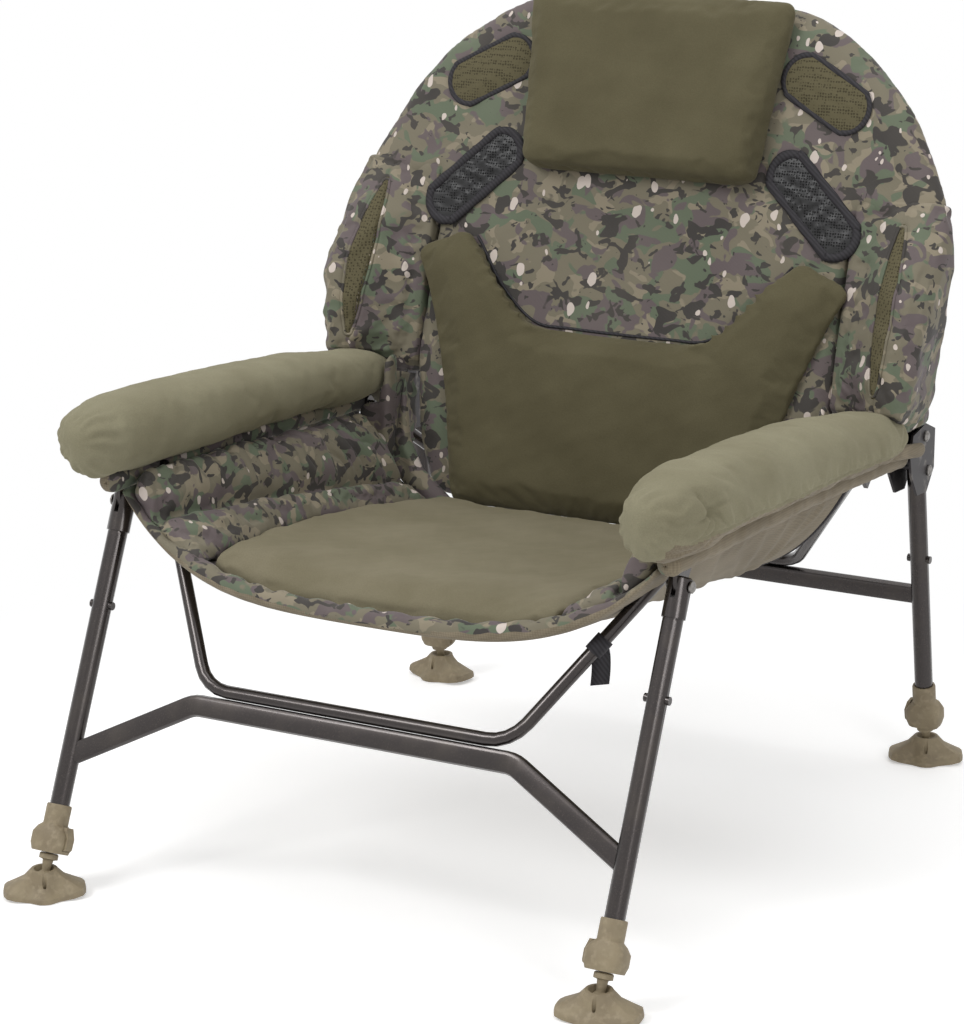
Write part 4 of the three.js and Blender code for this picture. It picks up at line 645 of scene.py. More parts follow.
@dataclass(frozen=True)
class Layout:
    """Where the drawing lies in the part's frame, and the lines that several pieces share."""

    shift: Triple
    half_span: float = 340.0
    rail_ys: Numbers = (-207.0, -59.9, 90.3, 208.3, 411.0)
    rail_zs: Numbers = (444.5, 442.0, 436.5, 431.0, 419.5)
    recline: float = math.radians(16.7)
    back_y: float = 290.5
    back_z: float = 335.0
    back_half: float = 386.0
    back_thickness: float = 42.0
    brace_corner: Triple = (186.0, -266.0, 245.0)  # the right bend of the front brace
    brace_top: Triple = (326.2, -132.0, 443.6)  # its right end, bolted to the rail

    @classmethod
    def from_frame(cls, hinge_y: float = -190.0, hinge_z: float = 416.0) -> "Layout":
        """Finds the drawing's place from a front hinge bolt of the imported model.

        Args:
            hinge_y: the hinge's place in the drawing.
            hinge_z: the hinge's height in the drawing.

        Returns:
            The layout.
        """
        low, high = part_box("front_hinge_bolt_right")
        middle = [(a + b) * 500 for a, b in zip(low, high)]
        return cls((0.0, middle[1] - hinge_y, middle[2] - hinge_z))

    def metres(self, points: Points | Sequence[Sequence[float]]) -> Points:
        """Turns drawing points into part points in metres."""
        return (np.asarray(points, float) + np.asarray(self.shift)) / 1000.0

    def millimetres(self, points: Points) -> Points:
        """Turns part points in metres into drawing points."""
        return np.asarray(points, float) * 1000.0 - np.asarray(self.shift)

    def rail_z(self, y: float | Points) -> Points:
        """Height of the rail's centre line."""
        return np.interp(y, self.rail_ys, self.rail_zs)

    def on_back(self, x: Points, s: Points, out: Points) -> Points:
        """A point on the back: x across, s up its face, and out in front of it."""
        x, s, out = np.broadcast_arrays(np.asarray(x, float), np.asarray(s, float), np.asarray(out, float))
        y = self.back_y + s * math.sin(self.recline) - out * math.cos(self.recline)
        z = self.back_z + s * math.cos(self.recline) + out * math.sin(self.recline)
        return np.stack([x, y, z], axis=-1)

    @property
    def outward(self) -> Points:
        """The direction straight out of the back's face."""
        return self.on_back(0, 0, 1) - self.on_back(0, 0, 0)

    def off_back(self, points: Points) -> Points:
        """The reverse of on_back: x, s and out of each point."""
        dy, dz = points[:, 1] - self.back_y, points[:, 2] - self.back_z
        sine, cosine = math.sin(self.recline), math.cos(self.recline)
        return np.stack([points[:, 0], dy * sine + dz * cosine, dz * sine - dy * cosine], axis=1)


@dataclass(frozen=True)
class Sling:
    """The hanging seat's curved sheet, which the cushions lie on."""

    layout: Layout
    front_y: float = -252.0
    rear_y: float = 286.0
    recede: float = 38.0
    recede_power: float = 2.2
    front_z: float = 337.0
    rear_z: float = 280.0
    thickness: float = 8.0
    edge_x: float = 325.0
    edge_drop: float = 14.5
    front_curve: float = 3.8
    rear_curve: float = 4.8

    def share(self, y: Points) -> Points:
        """How far back a point is, 0 to 1."""
        return (y - self.front_y) / (self.rear_y - self.front_y)

    def under(self, x: Points, y: Points) -> Points:
        """Height of the sheet's underside."""
        share = self.share(y)
        edge = self.layout.rail_z(y) - self.edge_drop
        low = mix(self.front_z, self.rear_z, share)
        power = mix(self.front_curve, self.rear_curve, share)
        return low + (edge - low) * (np.abs(x) / self.edge_x) ** power

    def top(self, x: Points, y: Points) -> Points:
        """Height of the sheet's upper side."""
        return self.under(x, y) + self.thickness

    def above(self, points: Points) -> Points:
        """How far points lie above the sheet."""
        return points[:, 2] - self.top(points[:, 0], points[:, 1])

    def back_by(self, x: Points, y: Points) -> Points:
        """The y of a station line at x: the front edge runs back towards the rails."""
        return y + self.recede * (np.abs(x) / self.edge_x) ** self.recede_power * (1 - self.share(y))


# Meshes


@dataclass
class Shape:
    """A mesh in the making: drawing points and faces."""

    points: Points
    faces: list[tuple[int, ...]]

    @classmethod
    def from_grid(cls, grid: Points, wrap: bool = False, capped: bool = False) -> "Shape":
        """Makes a surface from rows of points.

        Args:
            grid: rows by columns by three.
            wrap: whether each row closes on itself.
            capped: whether the first and last row are closed by a face.

        Returns:
            The shape.
        """
        rows, columns = grid.shape[:2]
        faces = []
        for row in range(0, (rows - 1) * columns, columns):
            for j in range(columns if wrap else columns - 1):
                beside = (j + 1) % columns
                faces.append((row + j, row + beside, row + columns + beside, row + columns + j))
        if capped:
            faces.append(tuple(reversed(range(columns))))
            faces.append(tuple(range((rows - 1) * columns, rows * columns)))
        return cls(grid.reshape(-1, 3), faces)

    @classmethod
    def slab(cls, low: Points, high: Points) -> "Shape":
        """A closed body between two sheets of points with the same rows and columns."""
        rows, columns = low.shape[:2]
        under, over = cls.from_grid(low), cls.from_grid(high)
        count = rows * columns
        rim = list(range(columns))
        rim += [i * columns + columns - 1 for i in range(1, rows)]
        rim += [(rows - 1) * columns + j for j in range(columns - 2, -1, -1)]
        rim += [i * columns for i in range(rows - 2, 0, -1)]
        sides = [(a, b, b + count, a + count) for a, b in zip(rim, rim[1:] + rim[:1])]
        turned = [tuple(reversed(face)) for face in under.faces]
        return cls(np.vstack([under.points, over.points]), turned + over.numbered_from(count) + sides)

    @classmethod
    def layered(cls, x: Points, y: Points, low: Points, high: Points) -> "Shape":
        """A slab between two heights over one grid of places."""
        return cls.slab(np.stack([x, y, low], axis=-1), np.stack([x, y, high], axis=-1))

    @classmethod
    def ring(cls, grid: Points) -> "Shape":
        """A surface that closes on itself both ways, from rows of points."""
        shape = cls.from_grid(np.concatenate([grid, grid[:1]]), wrap=True)
        last = grid.shape[0] * grid.shape[1]
        return cls(shape.points[:last], [tuple(k % last for k in face) for face in shape.faces])

    @classmethod
    def tube(
        cls, path: Points, radius: float | Points, sides: int = 10, closed: bool = False, flat: float = 1.0,
        up: Points | None = None,
    ) -> "Shape":
        """A round or oval tube along a path.

        Args:
            path: its centre line.
            radius: one radius, or one for each point.
            sides: how many sides it has.
            closed: whether it joins itself.
            flat: its height as a share of its width.
            up: the direction in which it is flattened, one for each point; none for a free twist.

        Returns:
            The shape.
        """
        ahead = np.roll(path, -1, axis=0) if closed else np.vstack([path[1:], path[-1:] * 2 - path[-2:-1]])
        behind = np.roll(path, 1, axis=0) if closed else np.vstack([path[:1] * 2 - path[1:2], path[:-1]])
        along = unit(ahead - behind)
        if up is None:
            up = np.zeros_like(path)
            guide = np.array([0.0, 0.0, 1.0]) if abs(along[0][2]) < 0.9 else np.array([1.0, 0.0, 0.0])
            for k, direction in enumerate(along):
                guide = guide - direction * (guide @ direction)
                guide = guide / np.linalg.norm(guide)
                up[k] = guide
        side = unit(np.cross(along, up))
        over = np.cross(side, along)
        angle = np.linspace(0, 2 * math.pi, sides, endpoint=False)
        wide = np.broadcast_to(np.asarray(radius, float), (len(path),))[:, None, None]
        grid = (
            path[:, None, :]
            + wide * np.cos(angle)[None, :, None] * side[:, None, :]
            + wide * flat * np.sin(angle)[None, :, None] * over[:, None, :]
        )
        return cls.ring(grid) if closed else cls.from_grid(grid, wrap=True, capped=True)

    def numbered_from(self, count: int) -> list[tuple[int, ...]]:
        """The faces, with as many added to each point's number."""
        return [tuple(k + count for k in face) for face in self.faces]

    def joined(self, other: "Shape") -> "Shape":
        """This shape with another beside it, each keeping its faces apart."""
        faces = self.faces + other.numbered_from(len(self.points))
        return Shape(np.vstack([self.points, other.points]), faces)

    def piece(self, name: str, layout: Layout, finishes: Sequence[Material]) -> Piece:
        """Makes the Blender object.

        Args:
            name: its name.
            layout: where the drawing lies.
            finishes: its materials; the first is on every face at first.

        Returns:
            The object, smooth shaded with its faces turned outwards.
        """
        mesh = bpy.data.meshes.new(name)
        mesh.from_pydata(layout.metres(self.points).tolist(), [], self.faces)
        work = bmesh.new()
        work.from_mesh(mesh)
        bmesh.ops.recalc_face_normals(work, faces=work.faces)
        work.to_mesh(mesh)
        work.free()
        for finish in finishes:
            mesh.materials.append(finish)
        mesh.shade_smooth()
        made = bpy.data.objects.new(name, mesh)
        bpy.context.scene.collection.objects.link(made)
        return made


def rows_of(items: bpy.types.bpy_prop_collection, key: str) -> Points:
    """A measure of each vertex or face, in rows of three."""
    flat = np.empty(len(items) * 3)
    items.foreach_get(key, flat)
    return flat.reshape(-1, 3)


def points_of(piece: Piece, layout: Layout) -> Points:
    """The drawing points of a piece's vertices."""
    return layout.millimetres(rows_of(piece.data.vertices, "co"))


def move_points(piece: Piece, layout: Layout, points: Points) -> None:
    """Puts a piece's vertices at new drawing points."""
    piece.data.vertices.foreach_set("co", layout.metres(points).ravel())
    piece.data.update()


def applied(piece: Piece) -> None:
    """Turns a piece's modifiers into its mesh."""
    graph = bpy.context.evaluated_depsgraph_get()
    graph.update()
    shown = piece.evaluated_get(graph)
    made = bpy.data.meshes.new_from_object(shown, preserve_all_data_layers=True, depsgraph=graph)
    piece.modifiers.clear()
    old = piece.data
    piece.data = made
    made.name = old.name
    bpy.data.meshes.remove(old)
    made.shade_smooth()


def cut_away(piece: Piece, tools: Sequence[Piece]) -> None:
    """Cuts other bodies out of a piece and deletes them."""
    for tool in tools:
        cut = piece.modifiers.new("cut", "BOOLEAN")
        cut.operation = "DIFFERENCE"
        cut.solver = "EXACT"
        cut.object = tool
    applied(piece)
    for tool in tools:
        mesh = tool.data
        bpy.data.objects.remove(tool)
        bpy.data.meshes.remove(mesh)


def finish_faces(piece: Piece, layout: Layout, choose: FaceRule) -> None:
    """Gives each face the finish number that a rule picks.

    Args:
        piece: the object.
        layout: where the drawing lies.
        choose: from face centres in drawing points and face normals to finish numbers.
    """
    faces = piece.data.polygons
    picked = choose(layout.millimetres(rows_of(faces, "center")), rows_of(faces, "normal"))
    faces.foreach_set("material_index", np.asarray(picked, dtype=np.int32))
    piece.data.update()


@dataclass(frozen=True)
class Stuffing:
    """Fills a closed cloth shell: an even mesh, then air pressure under cloth, with its movement capped."""

    voxel: float = 5.0  # size of the even mesh's faces, in millimetres
    pressure: float = 4.0
    cap: float = 10.0  # the furthest that a point may move, in millimetres
    spare: float = 0.0  # how much wider the cloth is cut, as a share
    bending: float = 0.6
    frames: int = 20
    smooth: bool = True
    relaxed: int = 4
    quality: int = 5
    mass: float = 0.3
    stretch: float = 15.0
    shear: float = 5.0
    damping: float = 3.0

    def even(self, piece: Piece) -> None:
        """Remeshes a piece into small even faces.

        Args:
            piece: a closed body.
        """
        remesh = piece.modifiers.new("even", "REMESH")
        remesh.mode = "VOXEL"
        remesh.voxel_size = self.voxel / 1000
        relax = piece.modifiers.new("relax", "SMOOTH")
        relax.factor = 0.5
        relax.iterations = self.relaxed
        finishes = list(piece.data.materials)
        applied(piece)
        piece.data.materials.clear()
        for finish in finishes:
            piece.data.materials.append(finish)

    def fill(self, piece: Piece, layout: Layout, held: Rule | None = None) -> None:
        """Blows a piece up like a stuffed cushion.

        Args:
            piece: a closed body, already even.
            layout: where the drawing lies.
            held: how firmly each point is held, 0 to 1: seams, and what rests on something.
        """
        start = points_of(piece, layout)
        grip = np.clip(held(start), 0, 1) if held else np.zeros(len(start))
        room = self.cap * (1 - grip)
        pins = piece.vertex_groups.new(name="held")
        for level in np.unique(np.round(grip, 1)):
            if level > 0:
                pins.add(np.flatnonzero(np.round(grip, 1) == level).tolist(), float(level), "REPLACE")
        cloth = piece.modifiers.new("cloth", "CLOTH")
        settings = cloth.settings
        settings.quality, settings.mass, settings.air_damping = self.quality, self.mass, self.damping
        settings.tension_stiffness = settings.compression_stiffness = self.stretch
        settings.shear_stiffness, settings.bending_stiffness = self.shear, self.bending
        settings.use_pressure = True
        settings.uniform_pressure_force = self.pressure
        settings.shrink_min = -self.spare
        settings.effector_weights.gravity = 0
        settings.vertex_group_mass = "held"
        cloth.collision_settings.use_collision = False
        cloth.point_cache.frame_end = self.frames
        for step in range(1, self.frames + 1):
            bpy.context.scene.frame_set(step)
        applied(piece)
        piece.vertex_groups.clear()
        move = points_of(piece, layout) - start
        size = np.linalg.norm(move, axis=1)
        held_back = np.minimum(1.0, room / np.maximum(size, 1e-6))
        move_points(piece, layout, start + move * held_back[:, None])
        bpy.context.scene.frame_set(1)
        if self.smooth:
            finer = piece.modifiers.new("finer", "SUBSURF")
            finer.levels = finer.render_levels = 1
            applied(piece)

    def stuff(self, piece: Piece, layout: Layout, held: Rule | None = None) -> None:
        """Evens out a piece's mesh and fills it; the arguments are those of fill."""
        self.even(piece)
        self.fill(piece, layout, held)


def creased(piece: Piece, layout: Layout, depth: FaceRule) -> None:
    """Moves a piece's points along their normals.

    Args:
        piece: the object.
        layout: where the drawing lies.
        depth: from points and normals to how far each moves out, in millimetres.
    """
    points, normals = points_of(piece, layout), rows_of(piece.data.vertices, "normal")
    move_points(piece, layout, points + normals * depth(points, normals)[:, None])


def distance_to(line: Points, points: Points) -> Points:
    """How far each point is from the nearest point of a densely stepped line."""
    tree = KDTree(len(line))
    for k, place in enumerate(line):
        tree.insert(Vector(place), k)
    tree.balance()
    return np.array([tree.find(Vector(point))[2] for point in points])


# Sub-assemblies


def settle(
    piece: Piece, body: Body, slot: Slot, replaces: Sequence[str] = (),
) -> Piece:
    """Ties a finished piece to the model and reports it.

    Args:
        piece: the finished object.
        body: the body that it rides on.
        slot: the record's material slot; not used.
        replaces: CAD nodes that it stands for.

    Returns:
        The same object.
    """
    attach(piece, body.value)
    if replaces:
        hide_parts(*replaces)
    LOG.info("%s: %d faces on %s", piece.name, len(piece.data.polygons), body.value)
    return piece


def laid_on(
    piece: Piece, layout: Layout, line: Points, towards: Points, lift: float, reach: float = 120.0
) -> Points:
    """Lays a line on a piece's surface.

    Args:
        piece: what it lies on.
        layout: where the drawing lies.
        line: drawing points near the surface.
        towards: the direction in which the points are dropped on it, one or one for each.
        lift: how far above the surface the line ends up, in millimetres.
        reach: how far the surface is looked for, in millimetres.

    Returns:
        The line's points on the surface.
    """
    tree = BVHTree.FromObject(piece, bpy.context.evaluated_depsgraph_get())
    laid = []
    for point, way in zip(line, np.broadcast_to(towards, line.shape)):
        start = Vector(layout.metres(point - way * 60.0))
        hit = tree.ray_cast(start, Vector(way), reach / 1000)[0]
        laid.append(point if hit is None else layout.millimetres(np.array(hit)) - way * lift)
    return np.array(laid)


@dataclass(frozen=True)
class Metalwork:
    """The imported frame: its nodes keep their shape and get their finish, and round faces get smooth shading."""

    wardrobe: Wardrobe
    crease_angle: float = 38.0

    def finish_for(self, node: str) -> Material | None:
        """The finish of a node by its name, or none for a node that a soft piece replaces."""
        bent = node.endswith(("crossbar", "brace"))
        if bent or node.startswith(("arm_rail", "leg_", "inner_leg", "back_hoop")):
            return self.wardrobe.tube
        if node.startswith("rear_bracket"):
            return self.wardrobe.pressing
        if "_bolt_" in node:
            return self.wardrobe.zinc
        if node.startswith(("collar", "lever", "ankle", "foot")):
            return self.wardrobe.nylon
        return None

    def soften(self, mesh: bpy.types.Mesh) -> None:
        """Sets normals that run smoothly over edges flatter than the crease angle.

        Args:
            mesh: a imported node's mesh; its vertices stay where they are.
        """
        count = len(mesh.vertices)
        places = np.empty(count * 3, dtype=np.float32)
        mesh.vertices.foreach_get("co", places)
        _, spot = np.unique(np.round(places.reshape(-1, 3), 6), axis=0, return_inverse=True)
        spot = spot.ravel()
        loops = np.empty(len(mesh.loops), dtype=np.int32)
        mesh.loops.foreach_get("vertex_index", loops)
        face_of = np.repeat(np.arange(len(mesh.polygons)), [p.loop_total for p in mesh.polygons])
        normals = np.array([p.normal for p in mesh.polygons])
        areas = np.array([p.area for p in mesh.polygons])
        corners: dict[int, list[int]] = {}
        for loop, vertex in enumerate(loops):
            corners.setdefault(int(spot[vertex]), []).append(loop)
        smooth = np.empty((len(loops), 3))
        least = math.cos(math.radians(self.crease_angle))
        for group in corners.values():
            faces = face_of[group]
            near = normals[faces] @ normals[faces].T > least
            total = near @ (normals[faces] * areas[faces][:, None])
            smooth[group] = total / np.maximum(np.linalg.norm(total, axis=1), 1e-12)[:, None]
        mesh.shade_smooth()
        mesh.normals_split_custom_set(smooth.tolist())

    def dress(self, nodes: dict) -> None:
        """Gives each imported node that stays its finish.

        Args:
            nodes: node name to object.
        """
        for name, node in nodes.items():
            finish = self.finish_for(name)
            if finish is None:
                continue
            node.data.materials.clear()
            node.data.materials.append(finish)
            self.soften(node.data)
            LOG.info("%s: %s", name, finish.name)


@dataclass
class SubAssembly:
    """Some pieces that are made together: it knows where the drawing lies and what finishes there are."""

    layout: Layout
    wardrobe: Wardrobe

    def piece(self, shape: Shape, name: str, *finishes: Material) -> Piece:
        """Makes a shape's Blender object under a name, with its finishes."""
        return shape.piece(name, self.layout, finishes)


@dataclass
class Seat(SubAssembly):
    """The hanging seat: its sheet, the fleece pad, two camouflage bolsters and the rail covers."""

    sling: Sling
    pad_x: float = 214.0
    pad_front: float = -227.0
    pad_rear: float = 281.0
    pad_thickness: float = 33.0
    pad_edge: float = 12.0
    bolster_inner: float = 217.0
    bolster_outer: float = 315.25
    bolster_front: float = -243.0
    bolster_rear: float = 276.0
    bolster_thickness: float = 35.0
    bolster_edge: float = 7.0
    bolster_end: float = 15.0
    fill_turn: Numbers = (0, 0.06, 0.2, 0.4, 0.48, 0.54, 0.6, 0.7, 0.8, 0.9, 1)  # across; 0.5 is the crease
    fill_height: Numbers = (0.06, 0.45, 0.6, 0.5, -0.1, -0.1, 0.85, 1.3, 1.42, 1.2, 0.5)
    roll: float = 12.0
    pad_bulge: float = 19.0
    rear_rise: float = 5.0  # the pad's rear edge swells up against the lumbar cushion
    crease_y: Numbers = (-243.0, -133.0, 49.0, 276.0)
    crease_share: Numbers = (0.66, 0.54, 0.36, 0.34)
    gusset_x: Numbers = (190.0, 240.0, 262.0, 272.0, 281.0)
    gusset_z: Numbers = (322.0, 356.0, 388.0, 428.0, 458.0)
    soft_gap: float = 0.6
    cuff: tuple[Triple, ...] = (
        (352.0, 318.0, 437.0), (358.5, 348.0, 435.5), (361.5, 380.0, 431.5), (362.0, 402.0, 428.0),
        (362.0, 415.0, 426.0),
    )
    cuff_steps: int = 30
    cuff_radius: float = 8.6
    cover_radius: float = 13.9
    cover_inner: float = 11.4
    cover_start: float = -166.0
    cover_end: float = 388.0
    brace_radius: float = 8.5
    brace_clearance: float = 1.2
    brace_end: float = 34.0  # how far the flattened end reaches down and forward from its bolt
    brace_end_half: float = 3.2
    fold_rows: tuple[Numbers, ...] = (  # where a fold starts, its slope, height and width
        (-176, 0.55, 2.6, 9), (-128, 1.3, 3.4, 10), (-70, 1.75, 2.8, 12), (-12, 1.9, 2.2, 10),
        (48, 1.5, 2.8, 13), (120, 1.0, 2.4, 12), (196, 0.2, 2.6, 11), (246, -0.6, 2.4, 10), (-205, -0.2, 2.0, 9),
    )
    corner_outline: tuple[Pair, ...] = (  # x and z
        (280, 366), (294, 374), (310, 391), (320, 408), (324, 424), (312, 431), (293, 434), (290, 452),
        (288, 488), (281, 490), (280, 460), (280, 410),
    )
    corner_middle: Pair = (300.0, 410.0)
    corner_rings: tuple[Pair, ...] = (  # share of the outline, and y
        (0.3, 281), (0.8, 279), (0.95, 281.5), (1.0, 286), (1.0, 295), (0.95, 301), (0.8, 303), (0.3, 303),
    )

    def bulge(self, y: Points) -> Points:
        """How much wider the pad is at a place along it than at its ends."""
        return self.pad_bulge * np.clip(1 - ((np.asarray(y, float) - 10) / 252) ** 2, 0, 1)

    def crease(self, y: Points) -> Points:
        """Where a bolster's crease runs between its roll and its flat inner strip, as a share of its width."""
        return np.interp(y, self.crease_y, self.crease_share)

    def brace_room(self) -> list[Piece]:
        """Bodies that fill the space of the front brace's two sides, for cutting.

        Returns:
            A tube and an end block for each side.
        """
        tools = []
        radius = self.brace_radius + self.brace_clearance
        for side in SIDES.values():
            flip = np.array([side, 1, 1])
            corner, top = np.array(self.layout.brace_corner) * flip, np.array(self.layout.brace_top) * flip
            path = np.array([corner, top, top + (top - corner) * 0.12])
            tools.append(self.piece(Shape.tube(path, radius, 14), "room_tube"))
            x = np.array([-self.brace_end_half, self.brace_end_half]) + top[0]
            y, z = (np.array([-self.brace_end, radius]) + middle for middle in top[1:])
            gx, gy = np.meshgrid(x, y)
            tools.append(self.piece(Shape.layered(gx, gy, 0 * gx + z[0], 0 * gx + z[1]), "room_block"))
        return tools

    def folds(self, points: Points) -> Points:
        """Depth of the stretched folds that run down the sheet from the rails, outwards positive.

        Args:
            points: places on the sheet's underside.

        Returns:
            How far the cloth stands out, in millimetres.
        """
        x, y = np.abs(points[:, 0]), points[:, 1]
        down = self.sling.edge_x - x
        wander = 9 * ripple(points, 140, 11 + int(points[0, 0] > 0))
        total = np.zeros(len(points))
        for start, slope, height, width in self.fold_rows:
            line = y - (start + slope * down + wander)
            fade = eased(-2, 22, down) * (1 - eased(60, 190, down))
            total += height * fade * (hump(line, 0, width) - 0.6 * hump(line, width * 1.7, width * 0.9))
        puckers = 0.9 * np.sin(y / 4.1 + 2.4 * ripple(points, 60, 5)) * (1 - eased(4, 26, down))
        sag = 1.6 * ripple(points * np.array([1, 0.55, 1]), 150, 7, 1) * eased(40, 120, down)
        return total + puckers + sag

    def make_sheet(self) -> Piece:
        """The sheet itself: khaki below, camouflage above and round its front roll."""
        sling = self.sling
        across = np.linspace(-1, 1, 131)
        x = sling.edge_x * np.sign(across) * np.abs(across) ** 0.92
        lead = np.array([0, 0.8, 2.2, 4.5, 8, 12, 17, 23, 30, 38]) + sling.front_y
        middle = np.linspace(sling.front_y + 48, sling.rear_y - 8, 76)
        y = np.concatenate([lead, middle, [sling.rear_y - 3, sling.rear_y]])
        gx, gy = np.meshgrid(x, y)
        back = sling.back_by(gx, gy)
        inward = gy - sling.front_y
        round_off = 1 - np.sqrt(np.clip(1 - (1 - np.clip(inward / 9, 0, 1)) ** 2, 0, 1))
        centre = 1 - eased(self.pad_x, sling.edge_x, np.abs(gx))
        roll = self.roll * (1 - eased(14, 36, inward)) * centre
        wander = 2 * ripple(np.stack([gx, gy, gx * 0], axis=-1), 70, 3)
        quilt = 1.7 * np.sin(gx / 5.6 + wander) * (1 - eased(20, 40, inward)) * centre
        top = sling.top(gx, back) + roll + quilt
        under = sling.under(gx, back)
        middle = (top + under) / 2
        top, under = mix(top, middle, round_off), mix(under, middle, round_off * 0.85)
        shape = Shape.layered(gx, back, under, top)
        piece = self.piece(shape, "seat_sheet", self.wardrobe.khaki, self.wardrobe.camouflage)
        points, normals = points_of(piece, self.layout), rows_of(piece.data.vertices, "normal")
        count = gx.size
        depth = np.zeros(len(points))
        depth[:count] = self.folds(points[:count])
        depth *= eased(3, 24, points[:, 1] - sling.front_y - 0.1 * np.abs(points[:, 0])) * (
            1 - eased(sling.rear_y - 16, sling.rear_y, points[:, 1])
        )
        points += normals * depth[:, None]
        points[count:, 2] += 1.1 * ripple(points[count:], 50, 21)
        move_points(piece, self.layout, points)
        cut_away(piece, self.brace_room())

        def printed(points: Points, normals: Points) -> Points:
            x, y = points[:, 0], points[:, 1]
            share = mix(0.3, 0.78, eased(60, 160, np.abs(x)))
            rolled = self.roll * (1 - eased(self.pad_x, sling.edge_x, np.abs(x)))
            seam = sling.under(x, y) + share * (sling.thickness + rolled)
            in_front = (normals[:, 1] < -0.2) & (normals[:, 2] > -0.5)
            return (normals[:, 2] > 0.15) | (in_front & (points[:, 2] > seam))

        finish_faces(piece, self.layout, printed)
        return settle(piece, Body.FRAME, Slot.KHAKI, ["seat_sling"])

    def make_pad(self) -> Piece:
        """The fleece pad: a crowned form with soft corners, flat where it lies on the sheet."""
        sling = self.sling
        y = np.linspace(self.pad_front + 2, self.pad_rear - 2, 73)
        share, gy = np.meshgrid(np.linspace(-1, 1, 61), y)
        half = self.pad_x + self.bulge(gy)
        gx = share * (half - 2)
        back = sling.back_by(gx, gy)
        full = fullness(gx, -half, half, 62) * fullness(gy, self.pad_front, self.pad_rear + 90, 84)
        full = full * fullness(gy, self.pad_front - 60, self.pad_rear, 12)
        crown = 3 * (1 - share**2)
        raised = self.rear_rise * hump(gy, self.pad_rear - 17, 11) * (1 - eased(150, 200, np.abs(gx)))
        height = mix(self.pad_edge, self.pad_thickness - 3, full) + crown * full + raised
        low = sling.top(gx, back) + self.soft_gap
        corner = 1 - eased(0.9, 1.0, np.abs(share)) * (1 - eased(0, 34, gy - self.pad_front))
        gx = gx * mix(0.975, 1.0, corner)
        shape = Shape.layered(gx, back, low, low + height)
        # The pad wears the fleece copy painted paler than the back's, as painted light.
        piece = self.piece(shape, "seat_fleece_pad", self.wardrobe.seat_fleece_painted_light)
        stuffing = Stuffing(voxel=5.5, cap=5.0, spare=0.012)
        stuffing.stuff(piece, self.layout, lambda p: 1 - eased(2.5, 9, sling.above(p)))

        def dents(points: Points, normals: Points) -> Points:
            uneven = 1.5 * ripple(points, 120, 31) + 0.5 * ripple(points, 34, 32)
            return eased(8, 20, sling.above(points)) * uneven

        creased(piece, self.layout, dents)
        return settle(piece, Body.FRAME, Slot.FLEECE, ["seat_pad"])

    def make_bolster(self, name: str, side: int) -> Piece:
        """A camouflage bolster between the pad and the rail, gathered along both seams.

        Args:
            name: left or right.
            side: -1 or 1.

        Returns:
            The bolster.
        """
        sling = self.sling
        share = np.linspace(0, 1, 41)
        y = np.linspace(self.bolster_front + 1, self.bolster_rear - 1, 91)
        gs, gy = np.meshgrid(share, y)
        start = self.bolster_inner + self.bulge(gy)
        gx = mix(start, self.bolster_outer, gs)
        back = sling.back_by(gx, gy)
        part = self.crease(gy)
        turned = np.where(gs < part, 0.5 * gs / part, 0.5 + 0.5 * (gs - part) / (1 - part))
        fill = np.interp(turned, self.fill_turn, self.fill_height)
        full = fill * fullness(gy, self.bolster_front, self.bolster_rear, self.bolster_end)
        height = mix(self.bolster_edge, self.bolster_thickness - 3, full)
        low = sling.top(gx, back) + self.soft_gap
        shape = Shape.layered(side * gx, back, low, low + height)
        piece = self.piece(shape, f"side_bolster_{name}", self.wardrobe.camouflage)
        stuffing = Stuffing(voxel=4.5, cap=5.5, spare=0.06, pressure=5.0, bending=0.15)

        def seam(points: Points) -> Points:
            start = self.bolster_inner + self.bulge(points[:, 1])
            inside = np.minimum(np.abs(points[:, 0]) - start, self.bolster_outer - np.abs(points[:, 0]))
            return 1 - eased(3, 9, inside)

        stuffing.stuff(piece, self.layout, lambda p: np.maximum(1 - eased(2.5, 8, sling.above(p)), seam(p)))
        seed = 41 + side

        def gathers(points: Points, normals: Points) -> Points:
            x, y = np.abs(points[:, 0]), points[:, 1]
            out = self.bolster_outer - x
            start = self.bolster_inner + self.bulge(y)
            inner = x - start
            beyond = x - mix(start, self.bolster_outer, self.crease(y))
            fold = 2 * np.abs(np.sin((y + 0.5 * beyond) / 11 + 1.6 * ripple(points, 90, seed + 9))) ** 0.6 - 1
            phase = y / 5.2 + 2.6 * ripple(points, 70, seed) + 0.05 * out
            top = np.sin(phase) * (1 - eased(10, 58, out)) * (0.6 + 0.6 * ripple(points, 90, seed + 2))
            low = np.sin(y / 6.4 + 2.2 * ripple(points, 60, seed + 4)) * (1 - eased(4, 30, inner))
            slant = np.sin((y + 1.1 * x) / 9.5 + 2.4 * ripple(points, 110, seed + 6)) * hump(inner, 46, 30)
            broad = 1.6 * ripple(points, 95, seed + 8)
            rolled = 2.0 * fold * eased(2, 8, beyond) * (1 - eased(26, 54, beyond))
            groove = 6.5 * hump(beyond, -1.0, 3.4)
            return eased(5, 14, sling.above(points)) * (1.5 * top + 0.8 * low + slant + broad + rolled - groove)

        creased(piece, self.layout, gathers)
        cut_away(piece, self.brace_room())
        return settle(piece, Body.FRAME, Slot.CAMOUFLAGE, [f"side_bolster_{name}"])

